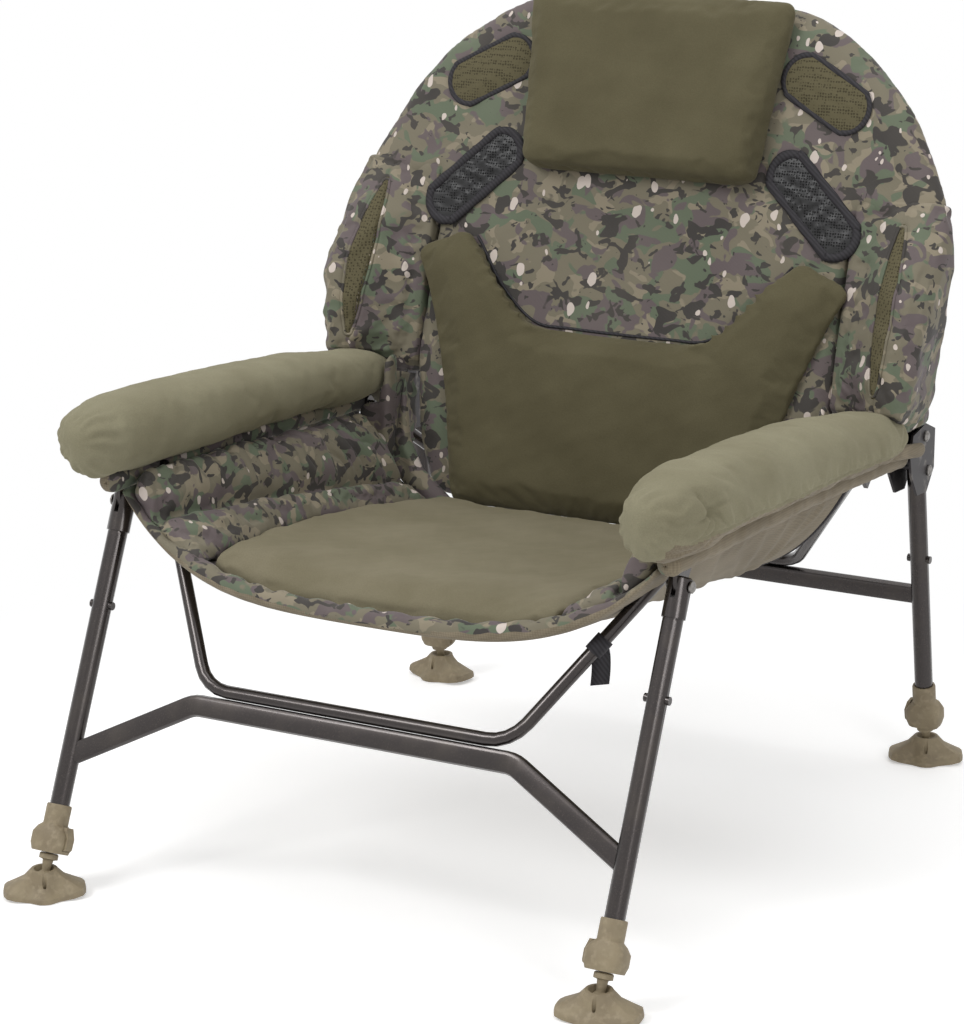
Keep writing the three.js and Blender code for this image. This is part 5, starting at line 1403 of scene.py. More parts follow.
    def make_cover(self, name: str, side: int) -> Piece:
        """The cloth sleeve round a rail, slack and wrinkled across, open where the braces are bolted on.

        Args:
            name: left or right.
            side: -1 or 1.

        Returns:
            The sleeve.
        """
        y = np.concatenate([[-224, -223.4, -222, -219.5, -216.5, -213], np.linspace(-209, self.cover_end, 158)])
        path = np.stack([np.full_like(y, side * self.layout.half_span), y, self.layout.rail_z(y)], axis=1)
        angle = np.linspace(0, 2 * math.pi, 28, endpoint=False)
        up = np.stack([np.cos(angle), 0 * angle, np.sin(angle)], axis=1)
        dome = np.sqrt(np.clip(1 - np.clip((-213 - y) / 11.05, 0, 1) ** 2, 0, 1))[:, None, None]
        outer = path[:, None, :] + up[None] * self.cover_radius * dome
        lines = y[:, None] / 5.5 + 1.8 * ripple(outer, 50, 51 + side) + 0.7 * np.sin(angle)[None]
        slack = 0.45 * np.sin(lines) + 0.7 * ripple(outer, 80, 53 + side)
        outer = outer + up[None] * slack[..., None] * dome
        hollow = np.sqrt(np.clip(1 - np.clip((-210 - y) / 11.0, 0, 1) ** 2, 0.001, 1))[:, None, None]
        inner = path[:, None, :] + up[None] * self.cover_inner * hollow
        inner[:, :, 1] = np.maximum(inner[:, :, 1], -221.4)
        hood = (1 - eased(self.cover_start - 8, self.cover_start, y))[:, None]
        outer[:, :, 2] = np.maximum(outer[:, :, 2], mix(0.0, 432.6, hood))
        inner[:, :, 2] = np.maximum(inner[:, :, 2], mix(0.0, 433.1, hood))
        steps = self.cuff_steps
        cuff = rounded_line(self.cuff, steps) * np.array([side, 1, 1])
        round_off = fullness(np.linspace(0, 1, steps), -0.6, 1.02, 0.16)
        lying = np.tile([1.0, 0.0, 0.0], (steps, 1))
        tail = Shape.tube(cuff, self.cuff_radius * round_off, 14, flat=0.5, up=lying)
        shape = Shape.ring(np.concatenate([outer, inner[::-1]])).joined(tail)
        piece = self.piece(shape, f"rail_sleeve_{name}", self.wardrobe.khaki, self.wardrobe.camouflage)
        finish_faces(piece, self.layout, lambda p, n: (self.layout.half_span - np.abs(p[:, 0])) > 3.0)
        return settle(piece, Body.FRAME, Slot.KHAKI, [f"rail_cover_{name}"])

    def make_corner(self, name: str, side: int) -> Piece:
        """The gathered cloth that fills the corner between the seat, the rail and the back.

        Args:
            name: left or right.
            side: -1 or 1.

        Returns:
            The corner.
        """
        outline = rounded_line(self.corner_outline, 90, closed=True)
        middle = np.array(self.corner_middle)
        rings = []
        for share, y in self.corner_rings:
            x, z = (middle + (outline - middle) * share).T
            rings.append(np.stack([side * x, y + (z - middle[1]) * 0.1, z], axis=1))
        shape = Shape.from_grid(np.array(rings), wrap=True, capped=True)
        piece = self.piece(shape, f"seat_corner_{name}", self.wardrobe.camouflage)
        Stuffing(voxel=4.0, smooth=False, relaxed=2).even(piece)

        def gathers(points: Points, normals: Points) -> Points:
            x, z = np.abs(points[:, 0]), points[:, 2]
            return 1.2 * np.sin(z / 4.5 + 0.12 * x + 2.0 * ripple(points, 60, 131)) * eased(288, 300, x)

        creased(piece, self.layout, gathers)
        return settle(piece, Body.FRAME, Slot.CAMOUFLAGE)

    def make_gusset(self, name: str, side: int) -> Piece:
        """The puckered cloth between a bolster's rear end and the front of the backrest.

        Args:
            name: left or right.
            side: -1 or 1.

        Returns:
            The gusset.
        """
        x, share = np.meshgrid(np.linspace(192, 281, 34), np.linspace(0, 1, 30))
        low = self.sling.top(x, np.full_like(x, 280.0)) + 0.8
        high = np.interp(x, self.gusset_x, self.gusset_z)
        z = mix(low, high, share)
        face = self.layout.back_y + 0.3 * (z - self.layout.back_z) - 1.2
        wander = 1.8 * ripple(np.stack([x, z, 0 * x], axis=-1), 60, 151 + side)
        pucker = 1.5 * np.sin((x - 0.9 * z) / 6.5 + wander)
        swell = fullness(share, 0, 1, 0.3) * fullness(x, 190, 283, 22)
        deep = 2.5 + swell * (8.5 + pucker)
        back = np.stack([side * x, face, z], axis=-1)
        front = np.stack([side * x, face - deep, z], axis=-1)
        piece = self.piece(Shape.slab(back, front), f"seat_gusset_{name}", self.wardrobe.camouflage)
        return settle(piece, Body.FRAME, Slot.CAMOUFLAGE)

    def make_flap(self, name: str, side: int) -> Piece:
        """The cloth that runs from a corner back along the side of the backrest.

        Args:
            name: left or right.
            side: -1 or 1.

        Returns:
            The flap.
        """
        gy, share = np.meshgrid(np.linspace(296, 352, 24), np.linspace(0, 1, 30))
        gz = mix(352 + 0.45 * (gy - 296), 474 - 0.28 * (gy - 296), share)
        wave = ripple(np.stack([gy * 0, gy, gz], axis=-1), 40, 141)
        x = 283.5 + wave + 1.2 * np.sin(gz / 5.0 + wave)
        low, high = (np.stack([side * (x + half), gy, gz], axis=-1) for half in (-1.6, 1.6))
        piece = self.piece(Shape.slab(low, high), f"seat_flap_{name}", self.wardrobe.camouflage)
        return settle(piece, Body.FRAME, Slot.CAMOUFLAGE)

    def make_hem(self) -> Piece:
        """The black tape bound round the sheet's rear edge."""
        x = np.linspace(-self.sling.edge_x + 2, self.sling.edge_x - 2, 120)
        y = np.full_like(x, self.sling.rear_y - 1.0)
        z = self.sling.under(x, y) + self.sling.thickness / 2
        up = np.tile([0.0, 1.0, 0.0], (len(x), 1))
        shape = Shape.tube(np.stack([x, y, z], axis=1), 4.6, 10, flat=0.55, up=up)
        piece = self.piece(shape, "seat_rear_hem", self.wardrobe.tape)
        return settle(piece, Body.FRAME, Slot.WEBBING)

    def build(self) -> None:
        """Makes the whole seat."""
        self.make_sheet()
        self.make_pad()
        for name, side in SIDES.items():
            self.make_bolster(name, side)
            self.make_cover(name, side)
            self.make_corner(name, side)
            self.make_gusset(name, side)
            self.make_flap(name, side)
        self.make_hem()


@dataclass
class ArmPads(SubAssembly):
    """Two fleece rolls over the rails, with gathered noses and a stitched tuck on the outer side."""

    rail_room: float = 14.8
    sides: int = 48
    ys: Numbers = (-282, -277, -265, -240, -190, -90, 20, 130, 230, 300, 338, 347)
    zs: Numbers = (501, 500, 496, 493, 496, 492, 486, 479, 470, 463, 459, 458)
    widths: Numbers = (8, 19, 33, 45, 55, 56, 56, 55, 53, 47, 33, 12)
    heights: Numbers = (9, 21, 33, 39, 42, 41, 41, 38, 33, 29, 21, 8)
    exponent: float = 2.5
    seam_drop: float = 0.18
    seam_share: float = 0.4  # how far the seam runs below the middle, as a share of the half height
    tuck_y: float = -212.0
    tuck_z: float = 505.0
    fold_angles: Numbers = (-0.35, -1.0, -1.75, -2.6, 0.45, 2.3)
    tuck_reach: float = 24.0
    tuck_depth: float = 7.0
    shrink: float = 2.5

    def seam_z(self, y: Points) -> Points:
        """Height of the seam on the outer side."""
        return np.interp(y, self.ys, self.zs) - np.interp(y, self.ys, self.heights) * self.seam_share

    def make(self, name: str, side: int) -> Piece:
        """One arm pad.

        Args:
            name: left or right.
            side: -1 or 1.

        Returns:
            The pad.
        """
        table = rounded_line(np.stack([self.ys, self.zs, self.widths, self.heights], axis=1), 110)
        angle = np.linspace(0, 2 * math.pi, self.sides, endpoint=False)
        cosine, sine = np.cos(angle), np.sin(angle)
        power = 2 / self.exponent
        below = np.clip(-sine, 0, 1)
        rings = []
        for y, z, width, height in table:
            width, height = max(width - self.shrink, 2.0), max(height - self.shrink, 1.5)
            tuck = self.tuck_depth * hump(y, self.tuck_y, self.tuck_reach) * below
            x = (width - tuck) * np.sign(cosine) * np.abs(cosine) ** power * (1 - self.seam_drop * below**2)
            up = height * np.sign(sine) * np.abs(sine) ** power
            rings.append(np.stack([side * (self.layout.half_span + x), np.full(self.sides, y), z + up], axis=1))
        shape = Shape.from_grid(np.array(rings), wrap=True, capped=True)
        # The pads wear the palest fleece copy, as painted light on their tops.
        piece = self.piece(shape, f"arm_fleece_painted_light_{name}", self.wardrobe.arm_fleece_painted_light, self.wardrobe.khaki)

        def seam(points: Points) -> Points:
            line = hump(points[:, 2], self.seam_z(points[:, 1]), 3.5)
            return 0.9 * (line * (np.abs(points[:, 0]) > self.layout.half_span))

        Stuffing(voxel=4.5, cap=4.0, spare=0.03, bending=0.3).stuff(piece, self.layout, seam)
        seed = 61 + side

        def detail(points: Points, normals: Points) -> Points:
            x, y, z = np.abs(points[:, 0]) - self.layout.half_span, points[:, 1], points[:, 2]
            nose = 1 - eased(-276, -215, y)
            around = np.arctan2(z - np.interp(y, self.ys, self.zs), x)
            radial = np.sin(around * 13 + 1.7 * ripple(points, 60, seed)) * nose * eased(-283, -268, y)
            outer = eased(20, 45, x)
            line = hump(z, self.seam_z(y), 2.2) * outer * eased(-262, -235, y) * (1 - eased(290, 325, y))
            gather = np.sin(y / 4.4 + 2.0 * ripple(points, 50, seed + 2)) * hump(z, self.seam_z(y), 12) * outer
            dy, dz = y - self.tuck_y, z - self.tuck_z
            dimple = hump(np.hypot(dy, dz), 0, 7.5) * outer
            star = np.zeros(len(points))
            for turn in self.fold_angles:
                run = dy * math.cos(turn) + dz * math.sin(turn)
                off = dy * math.sin(turn) - dz * math.cos(turn) - 0.012 * run**2
                star += hump(off, 0, 2.4) * eased(0, 4, run) * (1 - eased(14, 42, run)) * outer
            broad = 1.5 * ripple(points, 120, seed + 4) + 0.5 * ripple(points, 40, seed + 6)
            folds = 3.0 * np.minimum(star, 1.2)
            return 1.3 * radial - 2.6 * line + 0.55 * gather - 7.0 * dimple - folds + broad

        creased(piece, self.layout, detail)

        def lining(points: Points, normals: Points) -> Points:
            below = points[:, 2] < self.seam_z(points[:, 1]) - 2.5
            return below & (np.abs(points[:, 0]) > self.layout.half_span + 8) & (points[:, 1] > -262)

        finish_faces(piece, self.layout, lining)
        self.make_room(piece, side)
        return settle(piece, Body.FRAME, Slot.FLEECE, [f"arm_pad_{name}"])

    def make_room(self, piece: Piece, side: int) -> None:
        """Presses a groove into a pad's underside where the rail and the brace's end are.

        Args:
            piece: the pad.
            side: -1 or 1.
        """
        points = points_of(piece, self.layout)
        x, z = points[:, 0] - side * self.layout.half_span, points[:, 2] - self.layout.rail_z(points[:, 1])
        reach = np.hypot(x, z)
        inside = (reach < self.rail_room) & (points[:, 1] > -228)
        lift = np.sqrt(np.clip(self.rail_room**2 - x**2, 0, None))
        points[inside, 2] = (self.layout.rail_z(points[:, 1]) + lift)[inside]
        block = (np.abs(x + side * 13.8) < 6.5) & (np.abs(points[:, 1] + 132) < 40)
        points[block, 2] = np.maximum(points[block, 2], 454.5)
        move_points(piece, self.layout, points)

    def build(self) -> None:
        """Makes both pads."""
        for name, side in SIDES.items():
            self.make(name, side)


@dataclass
class Backrest(SubAssembly):
    """The oval back: its camouflage shell, two fleece cushions, and four vents let into it."""

    height: float = 626.0
    seam_depth: float = 14.0  # how far the rim's seam lies in front of the shell's rear face
    outline_x: Numbers = (
        0, 0.28, 0.5, 0.59, 0.62, 0.67, 0.70, 0.72, 0.72, 0.725, 0.86, 0.985, 0.982, 0.945, 0.9, 0.842, 0.765,
        0.672, 0.56, 0.42, 0.22,
    )
    outline_s: Numbers = (
        0, 0, 0, 0.012, 0.04, 0.1, 0.2, 0.3, 0.46, 0.606, 0.608, 0.612, 0.642, 0.69, 0.742, 0.797, 0.852, 0.902,
        0.947, 0.979, 0.997,
    )
    lumbar_x: Numbers = (0, 0.34, 0.64, 0.69, 0.72, 0.78, 0.86, 0.95, 1.01, 0.99, 0.88, 0.77, 0.6, 0.42, 0.22)
    lumbar_s: Numbers = (0, 0, 0, 0.02, 0.12, 0.36, 0.6, 0.8, 0.9, 0.935, 0.975, 0.995, 0.815, 0.69, 0.675)
    lumbar_width: float = 281.0
    lumbar_base: float = -14.0
    lumbar_height: float = 328.0
    shell_drop: float = 6.0  # how far the shell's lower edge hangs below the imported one
    lumbar_thickness: float = 24.0
    lumbar_tip: Pair = (268.0, 318.0)  # x and s of the corner round which the shell's cloth puckers
    window_ends: tuple[Pair, Pair] = ((258, 349), (188, 416))  # x and s of the lower and the upper end
    window_middle: Pair = (222.0, 384.0)
    window_half: float = 25.0
    panel_ends: tuple[Pair, Pair] = ((250, 496), (190, 529))
    panel_half: float = 27.5
    pillow_low: float = 396.0
    pillow_top: float = 616.0
    pillow_low_x: float = 152.0
    pillow_top_x: float = 173.0
    pillow_corner: float = 15.0
    pillow_thickness: float = 50.0
    pillow_taper: float = 0.55  # its thickness at the rim, as a share of that at its lower edge

    def mirrored(self, right: Points, count: int, top: Sequence[Pair] = ()) -> Points:
        """A closed outline from its right half.

        Args:
            right: x and s, from the middle of the bottom round to the top.
            count: how many points come back.
            top: a point in the middle of the top, if the halves don't meet there.

        Returns:
            The outline, x and s.
        """
        left = right[1:][::-1] * np.array([-1, 1])
        return rounded_line(np.vstack([right, np.reshape(top, (-1, 2)), left]), count, closed=True)

    def shell_line(self) -> Points:
        """The shell's outline, x and s, both halves."""
        x, s = np.array(self.outline_x) * self.layout.back_half, np.array(self.outline_s) * self.height
        s -= self.shell_drop * (1 - eased(0, 90, s))
        return self.mirrored(np.stack([x, s], axis=1), 260, [(0, self.height)])

    def lumbar_line(self) -> Points:
        """The lumbar cushion's outline, x and s."""
        x, s = np.array(self.lumbar_x) * self.lumbar_width, np.array(self.lumbar_s) * self.lumbar_height
        return self.mirrored(np.stack([x, self.lumbar_base + s], axis=1), 220)

    def pillow_line(self) -> Points:
        """The head cushion's outline, x and s, with small round corners."""
        low, top, wide, wider = self.pillow_low, self.pillow_top, self.pillow_low_x, self.pillow_top_x
        corner = self.pillow_corner
        right = [
            (0, low), (wide * 0.5, low), (wide - corner * 1.6, low),
            (wide - corner * 0.35, low + corner * 0.35), (mix(wide, wider, 0.1), low + corner * 1.5),
            (mix(wide, wider, 0.5), mix(low, top, 0.5)), (wider, top - corner * 1.4),
            (wider - corner * 0.25, top - corner * 0.25), (wider - corner * 1.4, top), (wider * 0.5, top),
        ]
        return self.mirrored(np.array(right), 200, [(0, top)])

    def crowned(self, line: Points, centre: Pair, rings: Sequence[Pair]) -> Shape:
        """A cushion from its outline: each ring is the outline drawn in by a share, at a height off the back.

        Args:
            line: outline, x and s.
            centre: where it is drawn in to.
            rings: share of the outline and height, from its underside round to its middle.

        Returns:
            The closed form.
        """
        middle = np.array(centre)
        grid = []
        for share, out in rings:
            grid.append(self.layout.on_back(*(middle + (line - middle) * share).T, out))
        return Shape.from_grid(np.array(grid), wrap=True, capped=True)

    def make_shell(self) -> Piece:
        """The shell: camouflage in front and round the rim, khaki behind, its hoop inside."""
        deep = self.layout.back_thickness
        line = self.shell_line()
        rings = [
            (0.3, -deep + 2), (0.7, -deep + 2), (0.9, -deep + 3), (0.965, -deep + 6), (0.99, -deep + 12),
            (0.996, -deep * 0.5), (0.99, -11), (0.968, -5), (0.91, -2.5), (0.75, -1.5), (0.3, -1.5),
        ]
        shape = self.crowned(line, (0, 0.5 * self.height), rings)
        piece = self.piece(shape, "back_shell_cloth", self.wardrobe.khaki, self.wardrobe.camouflage)
        stuffing = Stuffing(voxel=6.0, cap=3.0, spare=0.02, pressure=3.0, bending=0.3, smooth=False)
        stuffing.stuff(piece, self.layout)
        seam = rounded_line(self.layout.on_back(*line.T, self.seam_depth - deep), 900, closed=True)

        def detail(points: Points, normals: Points) -> Points:
            place = self.layout.off_back(points)
            x, s = np.abs(place[:, 0]), place[:, 1]
            away = distance_to(seam, points)
            groove = -2.2 * hump(away, 0, 3.0)
            front = eased(-24, -6, place[:, 2])
            broad = 1.3 * ripple(points, 150, 71) + 0.5 * ripple(points, 55, 72)
            dx, ds = x - self.window_middle[0], s - self.window_middle[1]
            turn = np.arctan2(ds, dx) * 11 + 2.0 * ripple(points, 80, 73)
            drag = np.sin(turn) * hump(np.hypot(dx, ds), 78, 24)
            dx, ds = x - self.lumbar_tip[0], s - self.lumbar_tip[1]
            turn = np.arctan2(ds, dx) * 9 + 1.5 * ripple(points, 60, 74)
            star = np.sin(turn) * hump(np.hypot(dx, ds), 30, 22)
            return groove + broad * (1 - hump(away, 0, 6)) + front * (0.9 * drag + 1.3 * star)

        creased(piece, self.layout, detail)
        finish_faces(piece, self.layout, lambda p, n: self.layout.off_back(p)[:, 2] > self.seam_depth - deep)
        return settle(piece, Body.BACK, Slot.CAMOUFLAGE, ["back_shell"])

    def make_lumbar(self) -> Piece:
        """The lumbar cushion, fleece, broad at the top with a dip in its middle."""
        full = self.lumbar_thickness
        rings = [
            (0.3, 0.6), (0.985, 0.6), (1.0, 3.0), (0.998, 6.5), (0.985, full * 0.5), (0.955, full * 0.7),
            (0.9, full * 0.84), (0.75, full * 0.95), (0.3, full),
        ]
        line = self.lumbar_line()
        centre = (0.0, self.lumbar_base + 0.44 * self.lumbar_height)
        # The back's cushions wear the fleece copy painted darker, as painted shade.
        piece = self.piece(self.crowned(line, centre, rings), "lumbar_fleece", self.wardrobe.back_fleece_painted_shade)
        stuffing = Stuffing(voxel=4.0, cap=5.0, spare=0.015, relaxed=10)
        stuffing.stuff(piece, self.layout, lambda p: 1 - eased(3.0, 8.0, self.layout.off_back(p)[:, 2]))

        def detail(points: Points, normals: Points) -> Points:
            place = self.layout.off_back(points)
            up = eased(6, 16, place[:, 2])
            return up * (1.6 * ripple(points, 140, 81) + 0.5 * ripple(points, 42, 82))

        creased(piece, self.layout, detail)
        return settle(piece, Body.BACK, Slot.FLEECE, ["lumbar_pad"])

    def make_pillow(self) -> Piece:
        """The head cushion, fleece, thick, with a boxed edge that hangs over the rim."""
        full = self.pillow_thickness
        rings = [
            (0.3, 0.6), (0.97, 0.6), (0.985, 4), (0.985, 14), (0.99, full * 0.45), (0.985, full * 0.62),
            (0.965, full * 0.76), (0.925, full * 0.86), (0.85, full * 0.92), (0.6, full * 0.95),
            (0.3, full * 0.96),
        ]
        centre = (0.0, mix(self.pillow_low, self.pillow_top, 0.5))
        form = self.crowned(self.pillow_line(), centre, rings)
        x, s, out = self.layout.off_back(form.points).T
        share = np.clip((s - self.pillow_low) / (self.pillow_top - self.pillow_low), 0, 1)
        form.points = self.layout.on_back(x, s, np.maximum(out * mix(1.0, self.pillow_taper, share), 0.6))
        # Painted shade: the darker fleece copy, as on the lumbar cushion.
        piece = self.piece(form, "head_fleece", self.wardrobe.back_fleece_painted_shade)
        stuffing = Stuffing(voxel=4.5, cap=4.0, spare=0.015, relaxed=8)
        stuffing.stuff(piece, self.layout, lambda p: 1 - eased(4.0, 14.0, self.layout.off_back(p)[:, 2]))

        def detail(points: Points, normals: Points) -> Points:
            place = self.layout.off_back(points)
            up = eased(8, 22, place[:, 2])
            side = eased(0.93, 1.0, np.abs(place[:, 0]) / self.pillow_top_x)
            tug = np.sin(place[:, 1] / 9 + 1.5 * ripple(points, 60, 92)) * side
            return up * (1.5 * ripple(points, 130, 91) + 0.5 * ripple(points, 45, 93) + 0.7 * tug)

        creased(piece, self.layout, detail)
        return settle(piece, Body.BACK, Slot.FLEECE, ["headrest_pillow"])

    def slot_line(self, low: Pair, high: Pair, half: float, side: int) -> Points:
        """The outline of a slanting slot with round ends, x and s.

        Args:
            low: its lower outer end.
            high: its upper inner end.
            half: half its width.
            side: -1 or 1.

        Returns:
            The outline.
        """
        low_point, high_point = np.array(low), np.array(high)
        along = (high_point - low_point) / np.linalg.norm(high_point - low_point)
        across = np.array([-along[1], along[0]])
        ends = []
        for centre, start in ((high_point, 0.0), (low_point, math.pi)):
            for angle in np.linspace(start, start + math.pi, 9):
                ends.append(centre + along * math.sin(angle) * half * 0.9 - across * math.cos(angle) * half)
        return rounded_line(np.array(ends) * np.array([side, 1]), 150, closed=True)

    def make_vent(
        self, name: str, cad: str, line: Points, finish: Material, slot: Slot, bulge: float, binding: float
    ) -> None:
        """A vent in the back: bound in black tape, with mesh stretched inside.

        Args:
            name: the piece's name.
            cad: the node that it replaces.
            line: its outline, x and s.
            finish: the mesh's finish.
            slot: the mesh's slot.
            bulge: how far the mesh swells in the middle, in millimetres.
            binding: the tape's half width.
        """
        centre = line.mean(axis=0)
        grid = []
        for share in np.linspace(0, 1, 22):
            ring = (centre + (line - centre) * max(share, 0.002)).T
            flat = self.layout.on_back(*ring, 0.0)
            calm = 1 - share**4
            crumple = 1.2 * ripple(flat, 26, 101) * calm + 0.8 * ripple(flat, 13, 102) * calm
            out = 3.2 + bulge * (1 - share**2.2) + (crumple if slot is Slot.BLACK_MESH else 0.35 * crumple)
            grid.append(self.layout.on_back(*ring, out))
        grid.append(self.layout.on_back(*(centre + (line - centre) * 0.99).T, 0.7))
        mesh = self.piece(Shape.from_grid(np.array(grid), wrap=True, capped=True), name, finish)
        settle(mesh, Body.BACK, slot, [cad])
        path = self.layout.on_back(*line.T, 2.6)
        up = np.tile(self.layout.outward, (len(path), 1))
        shape = Shape.tube(path, binding * (1 + 0.1 * ripple(path, 30, 103)), 12, closed=True, flat=0.62, up=up)
        settle(self.piece(shape, f"{name}_binding", self.wardrobe.tape), Body.BACK, Slot.WEBBING)

    def make_piping(self, name: str, line: Points, piece: Piece, radius: float) -> None:
        """A thin dark welt on the back's face.

        Args:
            name: the piece's name.
            line: x and s of its course.
            piece: what it lies on.
            radius: its radius.
        """
        path = self.layout.on_back(*line.T, 4.0)
        path = laid_on(piece, self.layout, path, -self.layout.outward, radius * 0.3)
        settle(self.piece(Shape.tube(path, radius, 8), name, self.wardrobe.tape), Body.BACK, Slot.WEBBING)

    def build(self) -> None:
        """Makes the whole back."""
        shell = self.make_shell()
        self.make_lumbar()
        self.make_pillow()
        black, olive = (self.wardrobe.black_mesh, Slot.BLACK_MESH), (self.wardrobe.olive_mesh, Slot.OLIVE_MESH)
        for name, side in SIDES.items():
            for kind, ends, half, looks, bulge, binding in (
                ("window", self.window_ends, self.window_half, black, 3.0, 5.6),
                ("panel", self.panel_ends, self.panel_half, olive, 4.0, 3.4),
            ):
                line = self.slot_line(*ends, half, side)
                self.make_vent(f"vent_{kind}_{name}", f"mesh_{kind}_{name}", line, *looks, bulge, binding)
        line = self.lumbar_line()
        run = line[(np.abs(line[:, 0]) < 214) & (line[:, 1] > self.lumbar_base + 208)]
        step = unit(np.gradient(run, axis=0))
        spread = run + np.stack([step[:, 1], -step[:, 0]], axis=1) * 3.0
        self.make_piping("lumbar_welt", rounded_line(spread, 150), shell, 1.9)


@dataclass
class Wings(SubAssembly):
    """The padded sides of the back that come forward over the arms, each with a mesh pocket."""

    base: float = 161.0
    top: float = 377.0
    inner_x: float = 280.4
    forward: float = 60.0
    depth: float = 40.0
    sleeve_skin: float = 13.0
    sleeve_side: float = 15.0
    sleeve_top: float = 36.0
    soft_gap: float = 0.6
    lap: float = 22.0  # how far it laps over the shell's shoulder
    side_lap: float = 7.0  # how far it laps over the shell's edge
    stations: Numbers = (0, 0.012, 0.024, 0.2, 0.36, 0.53, 0.7, 0.86, 1, 1.102)
    widths: Numbers = (0.93, 0.95, 0.985, 1.005, 1.015, 1.02, 1.018, 1.012, 1.003, 0.992)
    forwards: Numbers = (-0.62, -0.4, 0.88, 0.98, 1, 0.92, 0.66, 0.38, 0.15, 0.05)
    ends: Numbers = (0.9, 0.96, 1, 1, 1, 1, 1, 1, 1.05, 1.13)
    skirt_y: Numbers = (275, 300, 330, 347, 352, 440)
    skirt_z: Numbers = (496, 490, 478, 470, 458, 455)
    hem_droop: float = 9.0  # how much lower the outer corner of the bottom edge hangs
    hinge: Pair = (438.0, 436.0)
    hoop_low_z: float = 425.0
    hoop_kink_z: float = 690.0
    hoop_half: float = 360.0
    hoop_bow_s: float = 371.0
    bow_depth: float = 0.52
    crumpled: float = 0.3  # a share of its height; not used
    anchor: Triple = (330.0, 480.0, 698.0)  # a point by the side; make turns it into metres and does not use it further
    pocket_x: float = 345.0
    pocket_lean: float = 5.0  # how much further in its upper end lies
    pocket_half: float = 13.0
    pocket_margin: float = 6.0
    pocket_steps: int = 60

    def hoop_out(self, s: float) -> float:
        """How far the hoop's centre line lies in front of the back's face, at a height on it."""
        dy, dz = self.hinge[0] - self.layout.back_y, self.hinge[1] - self.layout.back_z
        sine, cosine = math.sin(self.layout.recline), math.cos(self.layout.recline)
        low_s, low_out = dy * sine + dz * cosine, dz * sine - dy * cosine
        bow_out = -self.layout.back_thickness * self.bow_depth
        return float(np.interp(s, [low_s, self.hoop_bow_s], [low_out, bow_out]))

    def hoop_x(self, s: float) -> float:
        """Half width of the hoop at a height on the back, below its kink."""
        z = self.layout.back_z + s * math.cos(self.layout.recline)
        share = (z - self.hoop_low_z) / (self.hoop_kink_z - self.hoop_low_z)
        spread = float(np.interp(share, [0, 0.2, 0.66, 1], [0, 0.05, 0.6, 1]))
        return mix(self.layout.half_span, self.hoop_half, spread)

    def section(self, share: float, width: float, forward: float, fill: float, side: int) -> Points:
        """The wing's outline at one height.

        Args:
            share: height, 0 to 1.
            width: outer edge as a share of the back's half width.
            forward: how far it comes forward, as a share.
            fill: its thickness, as a share.
            side: -1 or 1.

        Returns:
            A ring of points.
        """
        s = mix(self.base, self.top, share)
        outer, inner = self.layout.back_half * width - 1.5, self.inner_x - self.side_lap
        depth, reach = self.depth * fill, self.forward * forward - 1.5
        sleeve = min(reach - depth, self.hoop_out(s) - self.sleeve_skin + 1.0)
        sleeve_x = min(outer, self.hoop_x(s) + mix(self.sleeve_side, self.sleeve_top, share))
        ring = [
            (inner, min(0.6, reach)),
            (mix(inner, outer, 0.3), min(max(reach * 0.28, 1.5), reach + depth / 4)),
            (mix(inner, outer, 0.6), min(reach * 0.8, reach + depth / 8)),
            (mix(inner, outer, 0.85), reach),
            (outer, reach - depth * 0.2),
            (sleeve_x, sleeve + depth * 0.3),
            (mix(inner, sleeve_x, 0.85), sleeve),
            (mix(inner, outer, 0.5), sleeve + depth * 0.1),
            (mix(inner, outer, 0.22), mix(-depth, sleeve, 0.5)),
            (inner, min(reach * 0.28 - depth, -depth)),
        ]
        dense = []
        for a, b in zip(ring, ring[1:] + ring[:1]):
            dense += [(mix(a[0], b[0], t), mix(a[1], b[1], t)) for t in np.linspace(0, 1, 6, endpoint=False)]
        flat = np.array(dense)
        ring = self.layout.on_back(side * flat[:, 0], s, flat[:, 1])
        bottom = self.layout.on_back(flat[:, 0], self.base, flat[:, 1])
        hem = np.interp(bottom[:, 1], self.skirt_y, self.skirt_z) - self.hem_droop * eased(364, 384, flat[:, 0])
        drop = np.clip(bottom[:, 2] - hem, 0, 48)
        ring[:, 2] -= drop * (1 - eased(0, 75, s - self.base))
        return ring

    def make(self, name: str, side: int) -> Piece:
        """One wing, with its pocket's mesh as faces and a welt round it.

        Args:
            name: left or right.
            side: -1 or 1.

        Returns:
            The wing.
        """
        end = self.top + self.lap
        rising = np.linspace(0.05, 1 + self.lap / (self.top - self.base), 40)
        shares = np.concatenate([[0, 0.012, 0.024], rising])
        tables = (self.widths, self.forwards, self.ends)
        rings = []
        for share in shares:
            values = [float(np.interp(share, self.stations, table)) for table in tables]
            rings.append(self.section(share, *values, side))
        shape = Shape.from_grid(np.array(rings), wrap=True, capped=True)
        piece = self.piece(shape, f"back_side_{name}", self.wardrobe.camouflage, self.wardrobe.olive_mesh)

        def seam(points: Points) -> Points:
            x, s, _ = self.layout.off_back(points).T
            return np.maximum(1 - eased(3, 9, np.abs(x) - self.inner_x), 1 - eased(2, 8, end - s))

        Stuffing(voxel=4.5, cap=4.5, spare=0.04, bending=0.2).stuff(piece, self.layout, seam)
        seed = 111 + side

